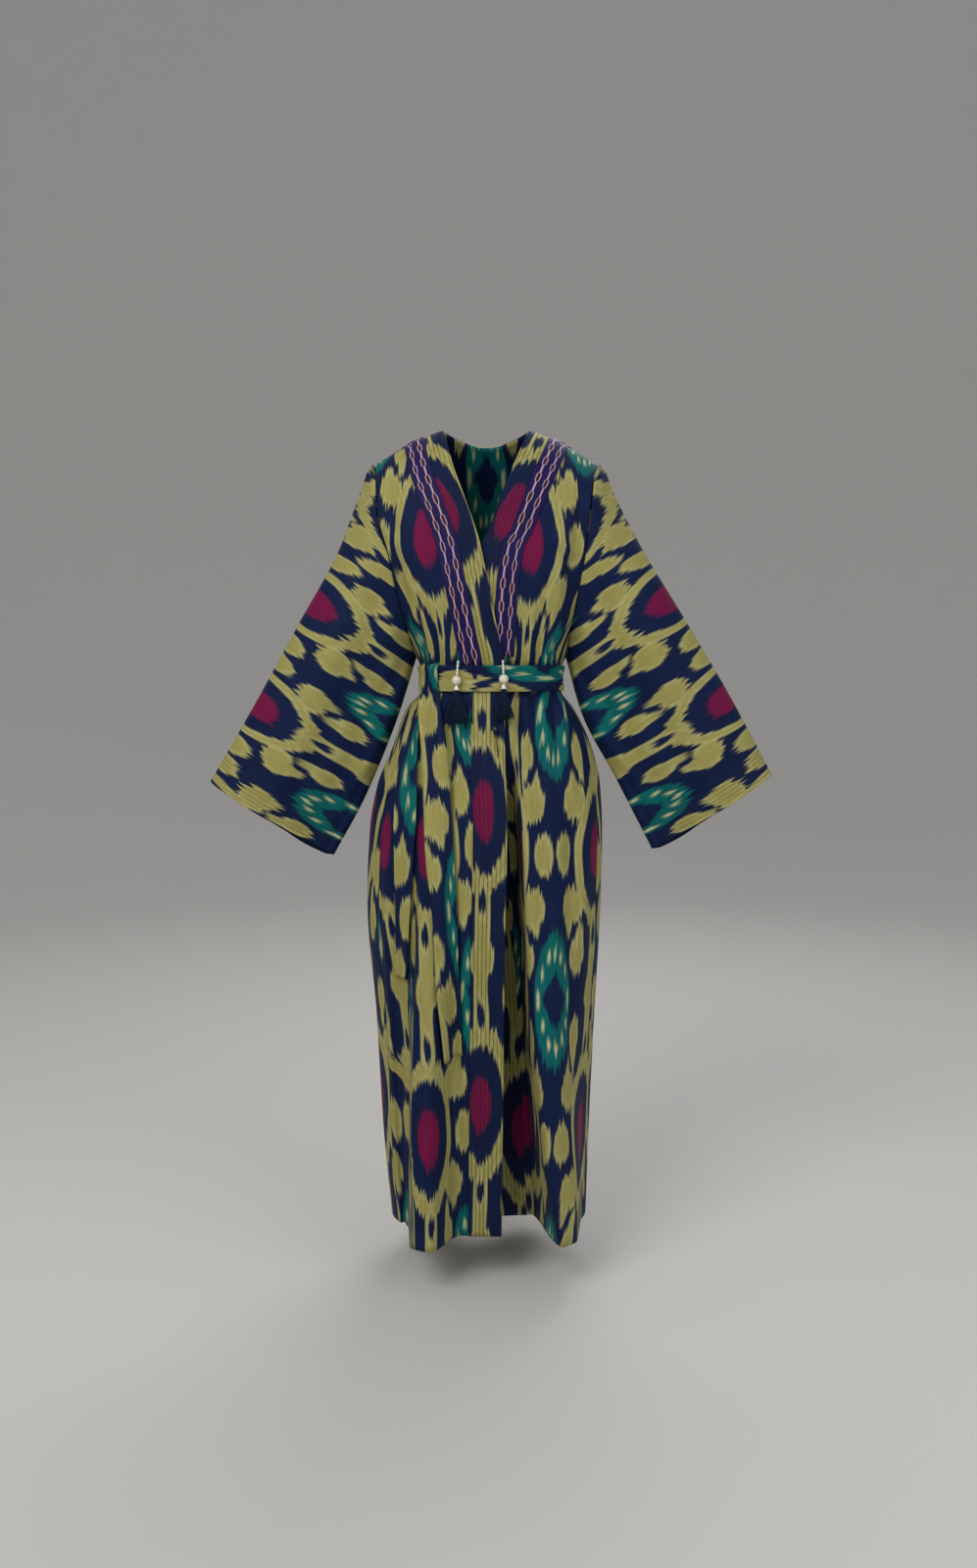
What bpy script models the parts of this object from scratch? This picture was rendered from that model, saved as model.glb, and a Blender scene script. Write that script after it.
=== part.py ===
"""Belted ikat robe (chapan) in worn form: two overlapping fronts, a back, wide straight sleeves,
a stitched edge band, a braid tape round the neck, a tied belt, two tassels and a ball button.

Metres, +Z up, the front faces -Y, and +X is the wearer's left. The origin is the middle of the
shoulder line. Each cloth piece is an open surface with a Solidify wall, worked out from the form
of a general figure, the cut edges and the folds that the tables below name.
"""

import math
import random
from collections import namedtuple

import bmesh
import bpy
import numpy as np
from mathutils import Matrix, Vector

# ---------------------------------------------------------------- driving sizes
WALL = 0.0018  # one layer of the robe's cloth with its turnings
THIN_WALL = 0.0015  # band and tape
BELT_WALL = 0.0022  # the belt is folded double
AIR = 0.0003  # kept between pieces that touch
SEAM_HALF_GAP = 0.0004  # each panel stops this far from its seam line

NECK_HALF = 0.0686  # neck point to the middle
SHOULDER_HALF = 0.1809  # shoulder tip to the middle
SHOULDER_Z = -0.0311  # height of the shoulder tips
SHOULDER_ROUND = 0.120  # drop over which the shoulder rounds to its full depth
CHEST_Z = -0.200  # from here down the rows are level
UNDERARM_Z = -0.338
HEM_Z = -1.265
BELT_TOP = -0.3525
BELT_BOTTOM = -0.3935
BELT_LIFT = 0.0030  # the belt's inside face, out from the robe's surface
WAIST_Z = -0.375  # fronts and back are each divided here, under the belt
TAPE_END_Z = -0.345
FOLDS_FROM_Z = -0.450  # rows above this keep the fold columns that they have here

BAND_LINES = (0.0, 0.019, 0.034, 0.053, 0.068)  # from a front's free edge: band 0-53, tape 34-68 mm
BAND_COLUMNS = slice(0, 4)
TAPE_COLUMNS = slice(2, 5)

# The form under the cloth. right and left are half widths, front and back are depths.
Level = namedtuple("Level", "z right left front back fullness")
FORM = (
    Level(0.030, 0.260, 0.260, 0.075, 0.070, 2.3),
    Level(-0.031, 0.250, 0.250, 0.088, 0.086, 2.3),
    Level(-0.100, 0.224, 0.222, 0.108, 0.103, 2.3),
    Level(-0.180, 0.190, 0.188, 0.121, 0.112, 2.3),
    Level(-0.240, 0.162, 0.164, 0.123, 0.110, 2.3),
    Level(-0.300, 0.132, 0.140, 0.116, 0.102, 2.3),
    Level(-0.338, 0.1150, 0.1300, 0.107, 0.094, 2.2),
    Level(-0.352, 0.1080, 0.1225, 0.102, 0.090, 2.2),
    Level(-0.373, 0.1035, 0.1195, 0.098, 0.087, 2.2),
    Level(-0.394, 0.1060, 0.1215, 0.099, 0.088, 2.2),
    Level(-0.421, 0.1300, 0.1420, 0.106, 0.096, 2.2),
    Level(-0.485, 0.1537, 0.172, 0.117, 0.116, 2.3),
    Level(-0.545, 0.1783, 0.186, 0.128, 0.131, 2.3),
    Level(-0.620, 0.1920, 0.190, 0.137, 0.139, 2.3),
    Level(-0.740, 0.1970, 0.188, 0.140, 0.137, 2.3),
    Level(-0.930, 0.1830, 0.179, 0.134, 0.127, 2.3),
    Level(-1.125, 0.1725, 0.171, 0.124, 0.119, 2.3),
    Level(-1.265, 0.1600, 0.167, 0.117, 0.115, 2.3),
)

# Shoulder ridge, from the middle of the neck out past the tip.
Ridge = namedtuple("Ridge", "across z")
RIDGE = (
    Ridge(0.0000, 0.0360),
    Ridge(0.0200, 0.0354),
    Ridge(0.0450, 0.0310),
    Ridge(0.0686, 0.0232),
    Ridge(0.1239, 0.0015),
    Ridge(0.1809, -0.0311),
    Ridge(0.2600, -0.0850),
)

# Free edges of the two fronts. The wearer's right front lies over the left one.
Edge = namedtuple("Edge", "z right left")
FREE_EDGES = (
    Edge(0.0232, -0.0686, 0.0687),
    Edge(-0.0400, -0.0526, 0.0430),
    Edge(-0.0980, -0.0323, 0.0200),
    Edge(-0.1500, -0.0142, 0.0010),
    Edge(-0.1660, -0.0097, -0.0085),
    Edge(-0.2256, 0.0024, -0.0185),
    Edge(-0.2935, 0.0161, -0.0225),
    Edge(-0.3694, 0.0290, -0.0260),
    Edge(-0.4950, 0.0290, -0.0250),
    Edge(-0.6000, 0.0322, -0.0190),
    Edge(-0.7900, 0.0286, -0.0090),
    Edge(-1.2650, 0.0240, 0.0140),
)

# Armhole: how far out the seam lies.
Armhole = namedtuple("Armhole", "z right left")
ARMHOLES = (
    Armhole(-0.0311, 0.1809, 0.1810),
    Armhole(-0.0600, 0.1740, 0.1690),
    Armhole(-0.1180, 0.1705, 0.1620),
    Armhole(-0.1820, 0.1530, 0.1540),
    Armhole(-0.2340, 0.1420, 0.1450),
    Armhole(-0.3060, 0.1235, 0.1330),
    Armhole(-0.3380, 0.1150, 0.1300),
)

# Side seams swing forward of the side below the belt, in degrees round the form.
Seam = namedtuple("Seam", "z right left")
SIDE_SEAMS = (
    Seam(-0.338, 0.0, 0.0),
    Seam(-0.420, 16.0, 12.0),
    Seam(-0.520, 30.0, 21.0),
    Seam(-0.800, 31.0, 22.0),
    Seam(-1.265, 26.0, 18.0),
)

# Skirt folds. Each stands out (or in) between its left foot and its right foot.
# panel, then x of the left foot, left shoulder, right shoulder and right foot, and the height.
FoldRow = namedtuple("FoldRow", "z left_foot left_top right_top right_foot height")
FOLDS = {
    "right_tube": (
        "front_right",
        (
            FoldRow(-0.560, -0.104, -0.098, -0.086, -0.050, 0.000),
            FoldRow(-0.680, -0.111, -0.102, -0.088, -0.045, 0.016),
            FoldRow(-0.830, -0.116, -0.107, -0.090, -0.043, 0.034),
            FoldRow(-0.935, -0.122, -0.113, -0.092, -0.043, 0.046),
            FoldRow(-1.100, -0.126, -0.117, -0.093, -0.040, 0.063),
            FoldRow(-1.265, -0.129, -0.119, -0.092, -0.040, 0.076),
        ),
    ),
    "right_side_hollow": (
        "front_right",
        (
            FoldRow(-0.700, -0.162, -0.150, -0.134, -0.122, 0.000),
            FoldRow(-1.000, -0.153, -0.145, -0.136, -0.126, -0.007),
            FoldRow(-1.265, -0.140, -0.137, -0.134, -0.130, -0.008),
        ),
    ),
    "left_valley": (
        "front_left",
        (
            FoldRow(-0.470, -0.300, -0.200, 0.038, 0.048, 0.000),
            FoldRow(-0.510, -0.300, -0.200, 0.040, 0.050, -0.012),
            FoldRow(-0.573, -0.300, -0.200, 0.042, 0.053, -0.040),
            FoldRow(-0.635, -0.300, -0.200, 0.046, 0.058, -0.062),
            FoldRow(-0.762, -0.300, -0.200, 0.050, 0.063, -0.076),
            FoldRow(-0.924, -0.300, -0.200, 0.056, 0.073, -0.076),
            FoldRow(-1.122, -0.300, -0.200, 0.068, 0.091, -0.074),
            FoldRow(-1.265, -0.300, -0.200, 0.074, 0.103, -0.073),
        ),
    ),
    "left_tube": (
        "front_left",
        (
            FoldRow(-0.560, 0.050, 0.062, 0.110, 0.150, 0.000),
            FoldRow(-0.762, 0.056, 0.070, 0.118, 0.170, 0.010),
            FoldRow(-0.924, 0.062, 0.080, 0.126, 0.165, 0.026),
            FoldRow(-1.122, 0.078, 0.098, 0.136, 0.161, 0.050),
            FoldRow(-1.265, 0.088, 0.122, 0.142, 0.158, 0.070),
        ),
    ),
    "back_right_fold": (
        "back",
        (
            FoldRow(-0.480, -0.110, -0.085, -0.075, -0.045, 0.000),
            FoldRow(-0.900, -0.118, -0.092, -0.078, -0.044, 0.016),
            FoldRow(-1.265, -0.126, -0.096, -0.080, -0.042, 0.032),
        ),
    ),
    "back_middle_hollow": (
        "back",
        (
            FoldRow(-0.460, -0.030, -0.010, 0.004, 0.030, 0.000),
            FoldRow(-0.900, -0.036, -0.012, 0.006, 0.034, -0.012),
            FoldRow(-1.265, -0.040, -0.014, 0.008, 0.038, -0.026),
        ),
    ),
    "back_left_fold": (
        "back",
        (
            FoldRow(-0.500, 0.040, 0.062, 0.078, 0.108, 0.000),
            FoldRow(-0.900, 0.038, 0.068, 0.084, 0.118, 0.020),
            FoldRow(-1.265, 0.036, 0.072, 0.090, 0.126, 0.030),
        ),
    ),
}

# Rows of a front, by their height at the shoulder tip or armhole.
SHOULDER_DROPS = (0.0, 0.008, 0.024, 0.048, 0.082, 0.122, 0.160)
LEVEL_ROWS = (
    -0.222, -0.262, -0.302, UNDERARM_Z, TAPE_END_Z, -0.357, WAIST_Z, -0.393, -0.412, -0.445,
    -0.485, -0.535, -0.600, -0.680, -0.775, -0.880, -0.990, -1.100, -1.190, HEM_Z,
)
ROWS = tuple(SHOULDER_Z - drop for drop in SHOULDER_DROPS) + LEVEL_ROWS

# Columns of a front between its guides, from the tape's edge line out to the armhole.
FRONT_COLUMNS = {
    "front_right": (("right_tube", "right_foot", 1), ("right_tube", "right_top", 3),
                    ("right_tube", "left_top", 2), ("right_tube", "left_foot", 2), (None, None, 5)),
    "front_left": (("left_valley", "right_top", 1), ("left_valley", "right_foot", 2),
                   ("left_tube", "left_top", 1), ("left_tube", "right_top", 3),
                   ("left_tube", "right_foot", 3), (None, None, 3)),
}
LEAST_SHARE = 0.02  # of a row, between two fold guides
FRONT_REACH = 125.0  # degrees round the form, past the far side of the crossing
UNDER_INSET = 0.0075  # the left front lies this far inside the right one
UNDER_OUT = (0.045, 0.060)  # x where it starts to come level with it, and over what width
UNDER_TOP = (-0.085, 0.055)  # height below which it is inset, and over what drop
DENSE = 720  # points in a row before its columns are picked out


# ---------------------------------------------------------------- tracks and small sums
class Track:
    """A size that changes smoothly with height and never overshoots the rows that it goes through."""

    def __init__(self, heights, sizes):
        order = np.argsort(heights)
        self.heights = np.array(heights, float)[order]
        self.sizes = np.array(sizes, float)[order]
        step = np.diff(self.heights)
        slope = np.diff(self.sizes) / step
        lean = np.zeros(len(self.sizes))
        lean[0], lean[-1] = slope[0], slope[-1]
        same_way = slope[:-1] * slope[1:] > 0
        total = np.where(same_way, slope[:-1] + slope[1:], 1.0)
        lean[1:-1] = np.where(same_way, 2.0 * slope[:-1] * slope[1:] / total, 0.0)
        self.step, self.lean = step, lean

    def __call__(self, at):
        at = np.clip(at, self.heights[0], self.heights[-1])
        i = np.clip(np.searchsorted(self.heights, at) - 1, 0, len(self.step) - 1)
        h = self.step[i]
        t = (at - self.heights[i]) / h
        rise = self.sizes[i + 1] - self.sizes[i]
        first, last = self.lean[i] * h, self.lean[i + 1] * h
        curve = (3 * rise - 2 * first - last) + t * (first + last - 2 * rise)
        return self.sizes[i] + t * (first + t * curve)


def tracks(table, key="z"):
    """One track for each column of a table, by the column's name."""
    heights = [getattr(row, key) for row in table]
    return {
        name: Track(heights, [getattr(row, name) for row in table])
        for name in table[0]._fields
        if name != key
    }


form = tracks(FORM)
ridge = tracks(RIDGE, "across")["z"]
free_edge = tracks(FREE_EDGES)
armhole = tracks(ARMHOLES)
side_seam = tracks(SIDE_SEAMS)
fold_tracks = {name: (panel, tracks(rows)) for name, (panel, rows) in FOLDS.items()}


def ease(t):
    """0 to 1 with level ends."""
    t = np.clip(t, 0.0, 1.0)
    return t * t * (3.0 - 2.0 * t)


def mix(a, b, t):
    return a + (b - a) * t


def along(points):
    """Distance run along a row of points."""
    steps = np.linalg.norm(np.diff(points, axis=0), axis=1)
    return np.concatenate([[0.0], np.cumsum(steps)])


def picked(points, run, marks):
    """The row's points at the given distances along it."""
    return np.stack([np.interp(marks, run, points[:, k]) for k in range(3)], axis=1)


# ---------------------------------------------------------------- the worn form
def shoulder_rounding(x, z):
    """0 on the shoulder ridge, 1 from SHOULDER_ROUND below it."""
    drop = np.clip((ridge(np.abs(x)) - z) / SHOULDER_ROUND, 0.0, 1.0)
    return np.sqrt(1.0 - (1.0 - drop) ** 2)


def fold_height(panel, x, z):
    """How far the panel's folds stand out of the form."""
    total = np.zeros_like(x)
    for owner, size in fold_tracks.values():
        if owner != panel:
            continue
        z_top = size["height"].heights[-1]
        left = ease((x - size["left_foot"](z)) / (size["left_top"](z) - size["left_foot"](z)))
        right = ease((size["right_foot"](z) - x) / (size["right_foot"](z) - size["right_top"](z)))
        total = total + np.where(z < z_top, size["height"](z) * left * right, 0.0)
    return total


def under_inset(panel, x, z):
    """The left front passes under the right one, and comes out level with it at its side."""
    if panel != "front_left":
        return 0.0
    start, width = UNDER_OUT
    top, drop = UNDER_TOP
    return UNDER_INSET * (1.0 - ease((x - start) / width)) * ease((top - z) / drop)


def surface_y(panel, x, z):
    """The outside face of a panel over the point x, z."""
    half = np.where(x < 0, form["right"](z), form["left"](z))
    power = form["fullness"](z)
    share = np.clip(1.0 - (np.abs(x) / half) ** power, 0.0, 1.0) ** (1.0 / power)
    rounded = shoulder_rounding(x, z)
    if panel == "back":
        return rounded * form["back"](z) * share + fold_height(panel, x, z)
    depth = rounded * form["front"](z) * share + fold_height(panel, x, z)
    return -(depth - under_inset(panel, x, z))


def row_points(panel, row_z, angles):
    """Points of a row at the given angles round the form: 0 is the wearer's right, 90 the front."""
    c = np.cos(angles)
    half = np.where(c > 0, form["right"](row_z), form["left"](row_z))
    x = -np.sign(c) * half * np.abs(c) ** (2.0 / form["fullness"](row_z))
    z = row_z + shoulder_lift(x, row_z)
    y = surface_y(panel, x, z)
    if row_z < UNDERARM_Z:
        turned = np.sin(angles) * (-1.0 if panel == "back" else 1.0) < 0
        other = surface_y("wrapped", x, z) if panel == "back" else surface_y("back", x, z)
        y = np.where(turned, other, y)
    return np.stack([x, y, z], axis=1)


def shoulder_lift(x, row_z):
    """Rows follow the shoulder's slope at the top and are level from the chest down."""
    share = 1.0 - ease((SHOULDER_Z - row_z) / (SHOULDER_Z - CHEST_Z))
    return (ridge(np.abs(x)) - SHOULDER_Z) * share


def outer_angle(side, row_z):
    """Angle in from the side at which a front stops: on the armhole, or on the side seam."""
    if row_z <= UNDERARM_Z:
        return math.radians(float(side_seam[side](row_z)))
    reach = float(armhole[side](row_z) / form[side](row_z))
    return math.acos(min(1.0, reach) ** (float(form["fullness"](row_z)) / 2.0))


# ---------------------------------------------------------------- panels as grids
def front_dense(panel, row_z):
    """A front's row from its free edge out to its armhole or side seam, finely divided."""
    side = "right" if panel == "front_right" else "left"
    first = outer_angle(side, row_z)
    angles = np.linspace(first, math.radians(FRONT_REACH), DENSE)
    if side == "left":
        angles = math.pi - angles
    row = row_points(panel, row_z, angles)[::-1]
    past = row[:, 0] - free_edge[side](row[:, 2])
    inside = past < 0 if side == "right" else past > 0
    start = int(np.argmax(inside))
    share = past[start - 1] / (past[start - 1] - past[start])
    cut = mix(row[start - 1], row[start], share)
    row = np.vstack([cut, row[start:]])
    run = along(row)
    keep = run < run[-1] - SEAM_HALF_GAP
    end = picked(row, run, [run[-1] - SEAM_HALF_GAP])
    return np.vstack([row[keep], end])


def guide_shares(panel, row_z):
    """Where the fold guides cross a row, as shares of its run past the tape's edge line."""
    row_z = min(row_z, FOLDS_FROM_Z)
    row = front_dense(panel, row_z)
    run = along(row)
    sign = 1.0 if panel == "front_left" else -1.0
    marks = []
    for fold, line, _ in FRONT_COLUMNS[panel]:
        if fold:
            at = fold_tracks[fold][1][line](row_z) * sign
            marks.append(float(np.interp(at, row[:, 0] * sign, run)))
    start = BAND_LINES[-1]
    return [(mark - start) / (run[-1] - start) for mark in marks] + [1.0]


def column_shares(panel, row_z):
    """All the columns past the tape's edge line, with the asked number between two guides."""
    shares, last = [], 0.0
    for share, (_, _, count) in zip(guide_shares(panel, row_z), FRONT_COLUMNS[panel]):
        share = max(share, last + LEAST_SHARE)
        shares += [mix(last, share, (k + 1) / count) for k in range(count)]
        last = share
    return np.array(shares) / last


def front_grid(panel):
    """Rows of points of a front, column 0 on its free edge."""
    rows = []
    for row_z in ROWS:
        dense = front_dense(panel, row_z)
        run = along(dense)
        start = BAND_LINES[-1]
        marks = list(BAND_LINES) + list(mix(start, run[-1], column_shares(panel, row_z)))
        row = picked(dense, run, marks)
        if row_z == ROWS[0]:
            row[:, 1] -= SEAM_HALF_GAP
        rows.append(row)
    return np.array(rows)


# Rows of the back. The first run round the neck edge, out to its shoulder seams; the rest run
# from armhole to armhole. out is the distance from the neck edge, and level how evenly they divide.
BackRow = namedtuple("BackRow", "out side_z middle_z level")
BACK_TOP = (
    BackRow(0.000, None, 0.005, 0.00),
    BackRow(0.019, None, -0.012, 0.00),
    BackRow(0.034, None, -0.026, 0.00),
    BackRow(0.053, None, -0.044, 0.00),
    BackRow(0.068, None, -0.058, 0.05),
    BackRow(0.090, None, -0.080, 0.35),
    BackRow(0.1123, None, -0.102, 0.60),
    BackRow(None, ROWS[1], -0.117, 0.68),
    BackRow(None, ROWS[2], -0.131, 0.76),
    BackRow(None, ROWS[3], -0.146, 0.84),
    BackRow(None, ROWS[4], -0.163, 0.91),
    BackRow(None, ROWS[5], -0.181, 0.96),
    BackRow(None, ROWS[6], -0.200, 1.00),
)
BACK_COLUMNS = 18
NECK_CURL = 2.2  # how sharply the back's top rows dip between their ends
LEVEL_CURL = 1.4  # the same where the rows run level


def back_grid():
    """Rows of points of the back: round the neck first, then from side to side."""
    u = np.linspace(-1.0, 1.0, BACK_COLUMNS + 1)
    round_neck = np.sin(u * math.pi / 2.0)
    dip = np.cos(u * math.pi / 2.0)
    rows = []
    for row in BACK_TOP:
        if row.out is None:
            reach = np.where(u < 0, armhole["right"](row.side_z), armhole["left"](row.side_z))
            side_drop = ridge(reach) - row.side_z
        else:
            reach, side_drop = NECK_HALF + row.out, 0.0
        x = reach * mix(round_neck, u, row.level)
        curl = mix(NECK_CURL, LEVEL_CURL, row.level)
        z = ridge(np.abs(x)) - mix(side_drop, ridge(0.0) - row.middle_z, dip ** curl)
        rows.append(np.stack([x, surface_y("back", x, z), z], axis=1))
    for row_z in LEVEL_ROWS:
        right, left = outer_angle("right", row_z), outer_angle("left", row_z)
        way = -1.0 if row_z > UNDERARM_Z else 1.0
        angles = np.linspace(way * right, -math.pi - way * left, DENSE)
        dense = row_points("back", row_z, angles)
        run = along(dense)
        marks = mix(0.0, run[-1], (u + 1.0) / 2.0)
        rows.append(picked(dense, run, marks))
    for row in rows:
        edge_in = row[[1, -2]] - row[[0, -1]]
        edge_in /= np.linalg.norm(edge_in, axis=1)[:, None]
        row[[0, -1]] += edge_in * SEAM_HALF_GAP
    rows = np.array(rows)
    on_shoulder = sum(row.out is not None for row in BACK_TOP)
    rows[:on_shoulder, [0, -1]] += (0.0, SEAM_HALF_GAP, 0.0)
    return rows


def grid_normals(grid, outward):
    """Unit normals of a grid of points, turned the way of outward at its middle."""
    down = np.gradient(grid, axis=0)
    across = np.gradient(grid, axis=1)
    normal = np.cross(down, across)
    normal /= np.maximum(np.linalg.norm(normal, axis=2), 1e-9)[..., None]
    middle = normal[len(grid) // 2, grid.shape[1] // 2]
    return normal if np.dot(middle, outward) > 0 else -normal


# ---------------------------------------------------------------- sleeves
SleeveEdge = namedtuple("SleeveEdge", "at x z")
SLEEVE_TOP = {
    "right": (
        SleeveEdge(0.00, -0.1809, -0.0311), SleeveEdge(0.03, -0.1885, -0.0400),
        SleeveEdge(0.07, -0.1960, -0.0610), SleeveEdge(0.14, -0.2116, -0.1028),
        SleeveEdge(0.27, -0.2376, -0.1702), SleeveEdge(0.50, -0.3010, -0.2830),
        SleeveEdge(0.75, -0.3770, -0.4180), SleeveEdge(1.00, -0.4500, -0.5411),
    ),
    "left": (
        SleeveEdge(0.00, 0.1810, -0.0311), SleeveEdge(0.03, 0.1885, -0.0400),
        SleeveEdge(0.07, 0.1960, -0.0590), SleeveEdge(0.12, 0.2067, -0.0841),
        SleeveEdge(0.27, 0.2487, -0.1640), SleeveEdge(0.50, 0.3160, -0.2730),
        SleeveEdge(0.75, 0.3890, -0.3930), SleeveEdge(1.00, 0.4643, -0.5289),
    ),
}
SLEEVE_BOTTOM = {
    "right": (
        SleeveEdge(0.00, -0.1150, -0.3380), SleeveEdge(0.30, -0.1455, -0.4330),
        SleeveEdge(0.65, -0.2000, -0.5650), SleeveEdge(1.00, -0.2520, -0.6610),
    ),
    "left": (
        SleeveEdge(0.00, 0.1300, -0.3380), SleeveEdge(0.28, 0.1580, -0.4320),
        SleeveEdge(0.62, 0.2130, -0.5350), SleeveEdge(1.00, 0.2730, -0.6510),
    ),
}
SleeveRing = namedtuple("SleeveRing", "at front back")
SLEEVE_DEPTH = (
    SleeveRing(0.00, 0.080, 0.078), SleeveRing(0.20, 0.066, 0.062),
    SleeveRing(0.50, 0.052, 0.048), SleeveRing(1.00, 0.040, 0.038),
)
SLEEVE_RINGS = (0.0, 0.04, 0.10, 0.19, 0.31, 0.44, 0.58, 0.72, 0.86, 1.0)
SLEEVE_FORWARD = 0.010  # the hanging sleeve's middle lies forward of the shoulder line
CUFF_LONGER = 0.016  # the cuff's back layer hangs lower than its front
CUFF_LONGER_FROM = 0.6  # share of the sleeve's length from which it does
TOP_FULLER = 0.30  # the sleeve is fuller near its top edge than near its lower one
HANG_BY = 0.5  # share of the length by which the sleeve has swung forward
SEAM_LEAVES_BY = 0.35  # share of the length by which the armhole's outline is left behind
DRAPE_OPENS = 0.25  # share of a drape's length over which it opens
# Soft drapes of the sleeve: where along and round it they run, and how far they stand in or out.
Drape = namedtuple("Drape", "start_at start_turn end_at end_turn width height")
SLEEVE_DRAPES = (
    Drape(0.10, 100.0, 0.95, 128.0, 26.0, -0.010),
    Drape(0.18, 66.0, 1.00, 84.0, 24.0, 0.006),
    Drape(0.05, 250.0, 0.90, 232.0, 28.0, -0.009),
    Drape(0.30, 290.0, 1.00, 276.0, 24.0, 0.006),
)


def armhole_loop(side, turns):
    """The armhole's seam line; turn 0 is the shoulder tip, 90 the front and 180 the underarm."""
    sign = -1.0 if side == "right" else 1.0
    points = []
    for turn in turns:
        z = mix(UNDERARM_Z, SHOULDER_Z, (1.0 + math.cos(turn)) / 2.0)
        x = sign * float(armhole[side](z))
        face = "front_" + side if math.sin(turn) > 0 else "back"
        y = float(surface_y(face, np.array([x]), np.array([z]))[0])
        if abs(math.sin(turn)) < 1e-6:
            y = 0.0
        points.append((x + sign * 2.0 * SEAM_HALF_GAP, y, z))
    return np.array(points)


def sleeve_grid(side):
    """Rings of a sleeve from the armhole seam to the cuff."""
    heights = np.array([row_z for row_z in ROWS[1:] if row_z > UNDERARM_Z])
    down = np.arccos(2.0 * (heights - UNDERARM_Z) / (SHOULDER_Z - UNDERARM_Z) - 1.0)
    turns = np.concatenate([[0.0], down, [math.pi], 2.0 * math.pi - down[::-1]])
    loop = armhole_loop(side, turns)
    top, bottom = tracks(SLEEVE_TOP[side], "at"), tracks(SLEEVE_BOTTOM[side], "at")
    depth = tracks(SLEEVE_DEPTH, "at")
    rings, first = [], None
    for at in SLEEVE_RINGS:
        upper = np.array([float(top["x"](at)), 0.0, float(top["z"](at))])
        lower = np.array([float(bottom["x"](at)), 0.0, float(bottom["z"](at))])
        middle, reach = (upper + lower) / 2.0, (upper - lower) / 2.0
        out = np.where(np.sin(turns) > 0, float(depth["front"](at)), float(depth["back"](at)))
        bulge = out * np.sin(turns) * (1.0 + TOP_FULLER * np.cos(turns))
        for drape in SLEEVE_DRAPES:
            part = (at - drape.start_at) / (drape.end_at - drape.start_at)
            centre = math.radians(mix(drape.start_turn, drape.end_turn, part))
            near = np.exp(-((turns - centre) / math.radians(drape.width)) ** 2)
            push = drape.height * near * ease(part / DRAPE_OPENS)
            bulge = bulge + np.where(turns < math.pi, push, -push)
        ring = middle + reach * np.cos(turns)[:, None] + np.array([0.0, -1.0, 0.0]) * bulge[:, None]
        ring[:, 1] -= SLEEVE_FORWARD * ease(at / HANG_BY)
        fall = np.array([reach[2], 0.0, -reach[0]]) / np.linalg.norm(reach)
        fall = fall * (1.0 if fall[2] < 0 else -1.0)
        longer = CUFF_LONGER * ease((at - CUFF_LONGER_FROM) / (1.0 - CUFF_LONGER_FROM))
        ring += fall * (longer * np.clip(-np.sin(turns), 0, 1))[:, None]
        first = ring if at == 0.0 else first
        rings.append(mix(loop + ring - first, ring, ease(at / SEAM_LEAVES_BY)))
    return np.array(rings)


# ---------------------------------------------------------------- belt, tassels, button
BELT_COLUMNS = 34
# Heights of the belt's rows as shares of its width, and how far each crease stands out.
BELT_CREASES = ((0.0, 0.0), (0.22, 0.0010), (0.45, 0.0001), (0.72, 0.0012), (1.0, 0.0))

# The belt's hanging ends: a row of heights with both edges and the gap to the robe's surface.
# The front end comes over the belt's top edge; the side end comes out below the belt.
EndRow = namedtuple("EndRow", "z left right lift")
BELT_ENDS = {
    "belt_end_front": (
        EndRow(-0.3495, -0.0985, -0.0720, 0.0036),
        EndRow(-0.3515, -0.0985, -0.0720, 0.0062),
        EndRow(-0.3560, -0.0985, -0.0720, 0.0080),
        EndRow(-0.3985, -0.0985, -0.0695, 0.0088),
        EndRow(-0.4660, -0.0990, -0.0622, 0.0088),
        EndRow(-0.5310, -0.0962, -0.0570, 0.0080),
        EndRow(-0.6250, -0.0925, -0.0518, 0.0080),
        EndRow(-0.7320, -0.0845, -0.0455, 0.0075),
        EndRow(-0.8400, -0.0810, -0.0420, 0.0070),
        EndRow(-0.9650, -0.0712, -0.0373, 0.0065),
    ),
    "belt_end_side": (
        EndRow(-0.3960, -0.1000, -0.0860, 0.0016),
        EndRow(-0.4300, -0.1170, -0.0960, 0.0018),
        EndRow(-0.4700, -0.1310, -0.1030, 0.0030),
        EndRow(-0.5600, -0.1400, -0.1060, 0.0040),
        EndRow(-0.6600, -0.1420, -0.1120, 0.0050),
        EndRow(-0.7600, -0.1420, -0.1180, 0.0060),
        EndRow(-0.8450, -0.1440, -0.1210, 0.0060),
    ),
}
END_HEIGHTS = {
    "belt_end_front": (
        -0.3495, -0.3515, -0.3560, -0.3750, -0.3985, -0.4250, -0.4550, -0.4900, -0.5350,
        -0.5900, -0.6500, -0.7200, -0.8000, -0.8800, -0.9650,
    ),
    "belt_end_side": (
        -0.3960, -0.4120, -0.4300, -0.4500, -0.4750, -0.5100, -0.5600, -0.6200, -0.6900,
        -0.7700, -0.8450,
    ),
}
END_SLANT = {"belt_end_front": 0.007, "belt_end_side": 0.0}  # the cut end drops this much to the right
SLANT_FROM = (-0.80, 0.16)  # height from which the rows slant, and over what drop
END_COLUMNS = 4

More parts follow.
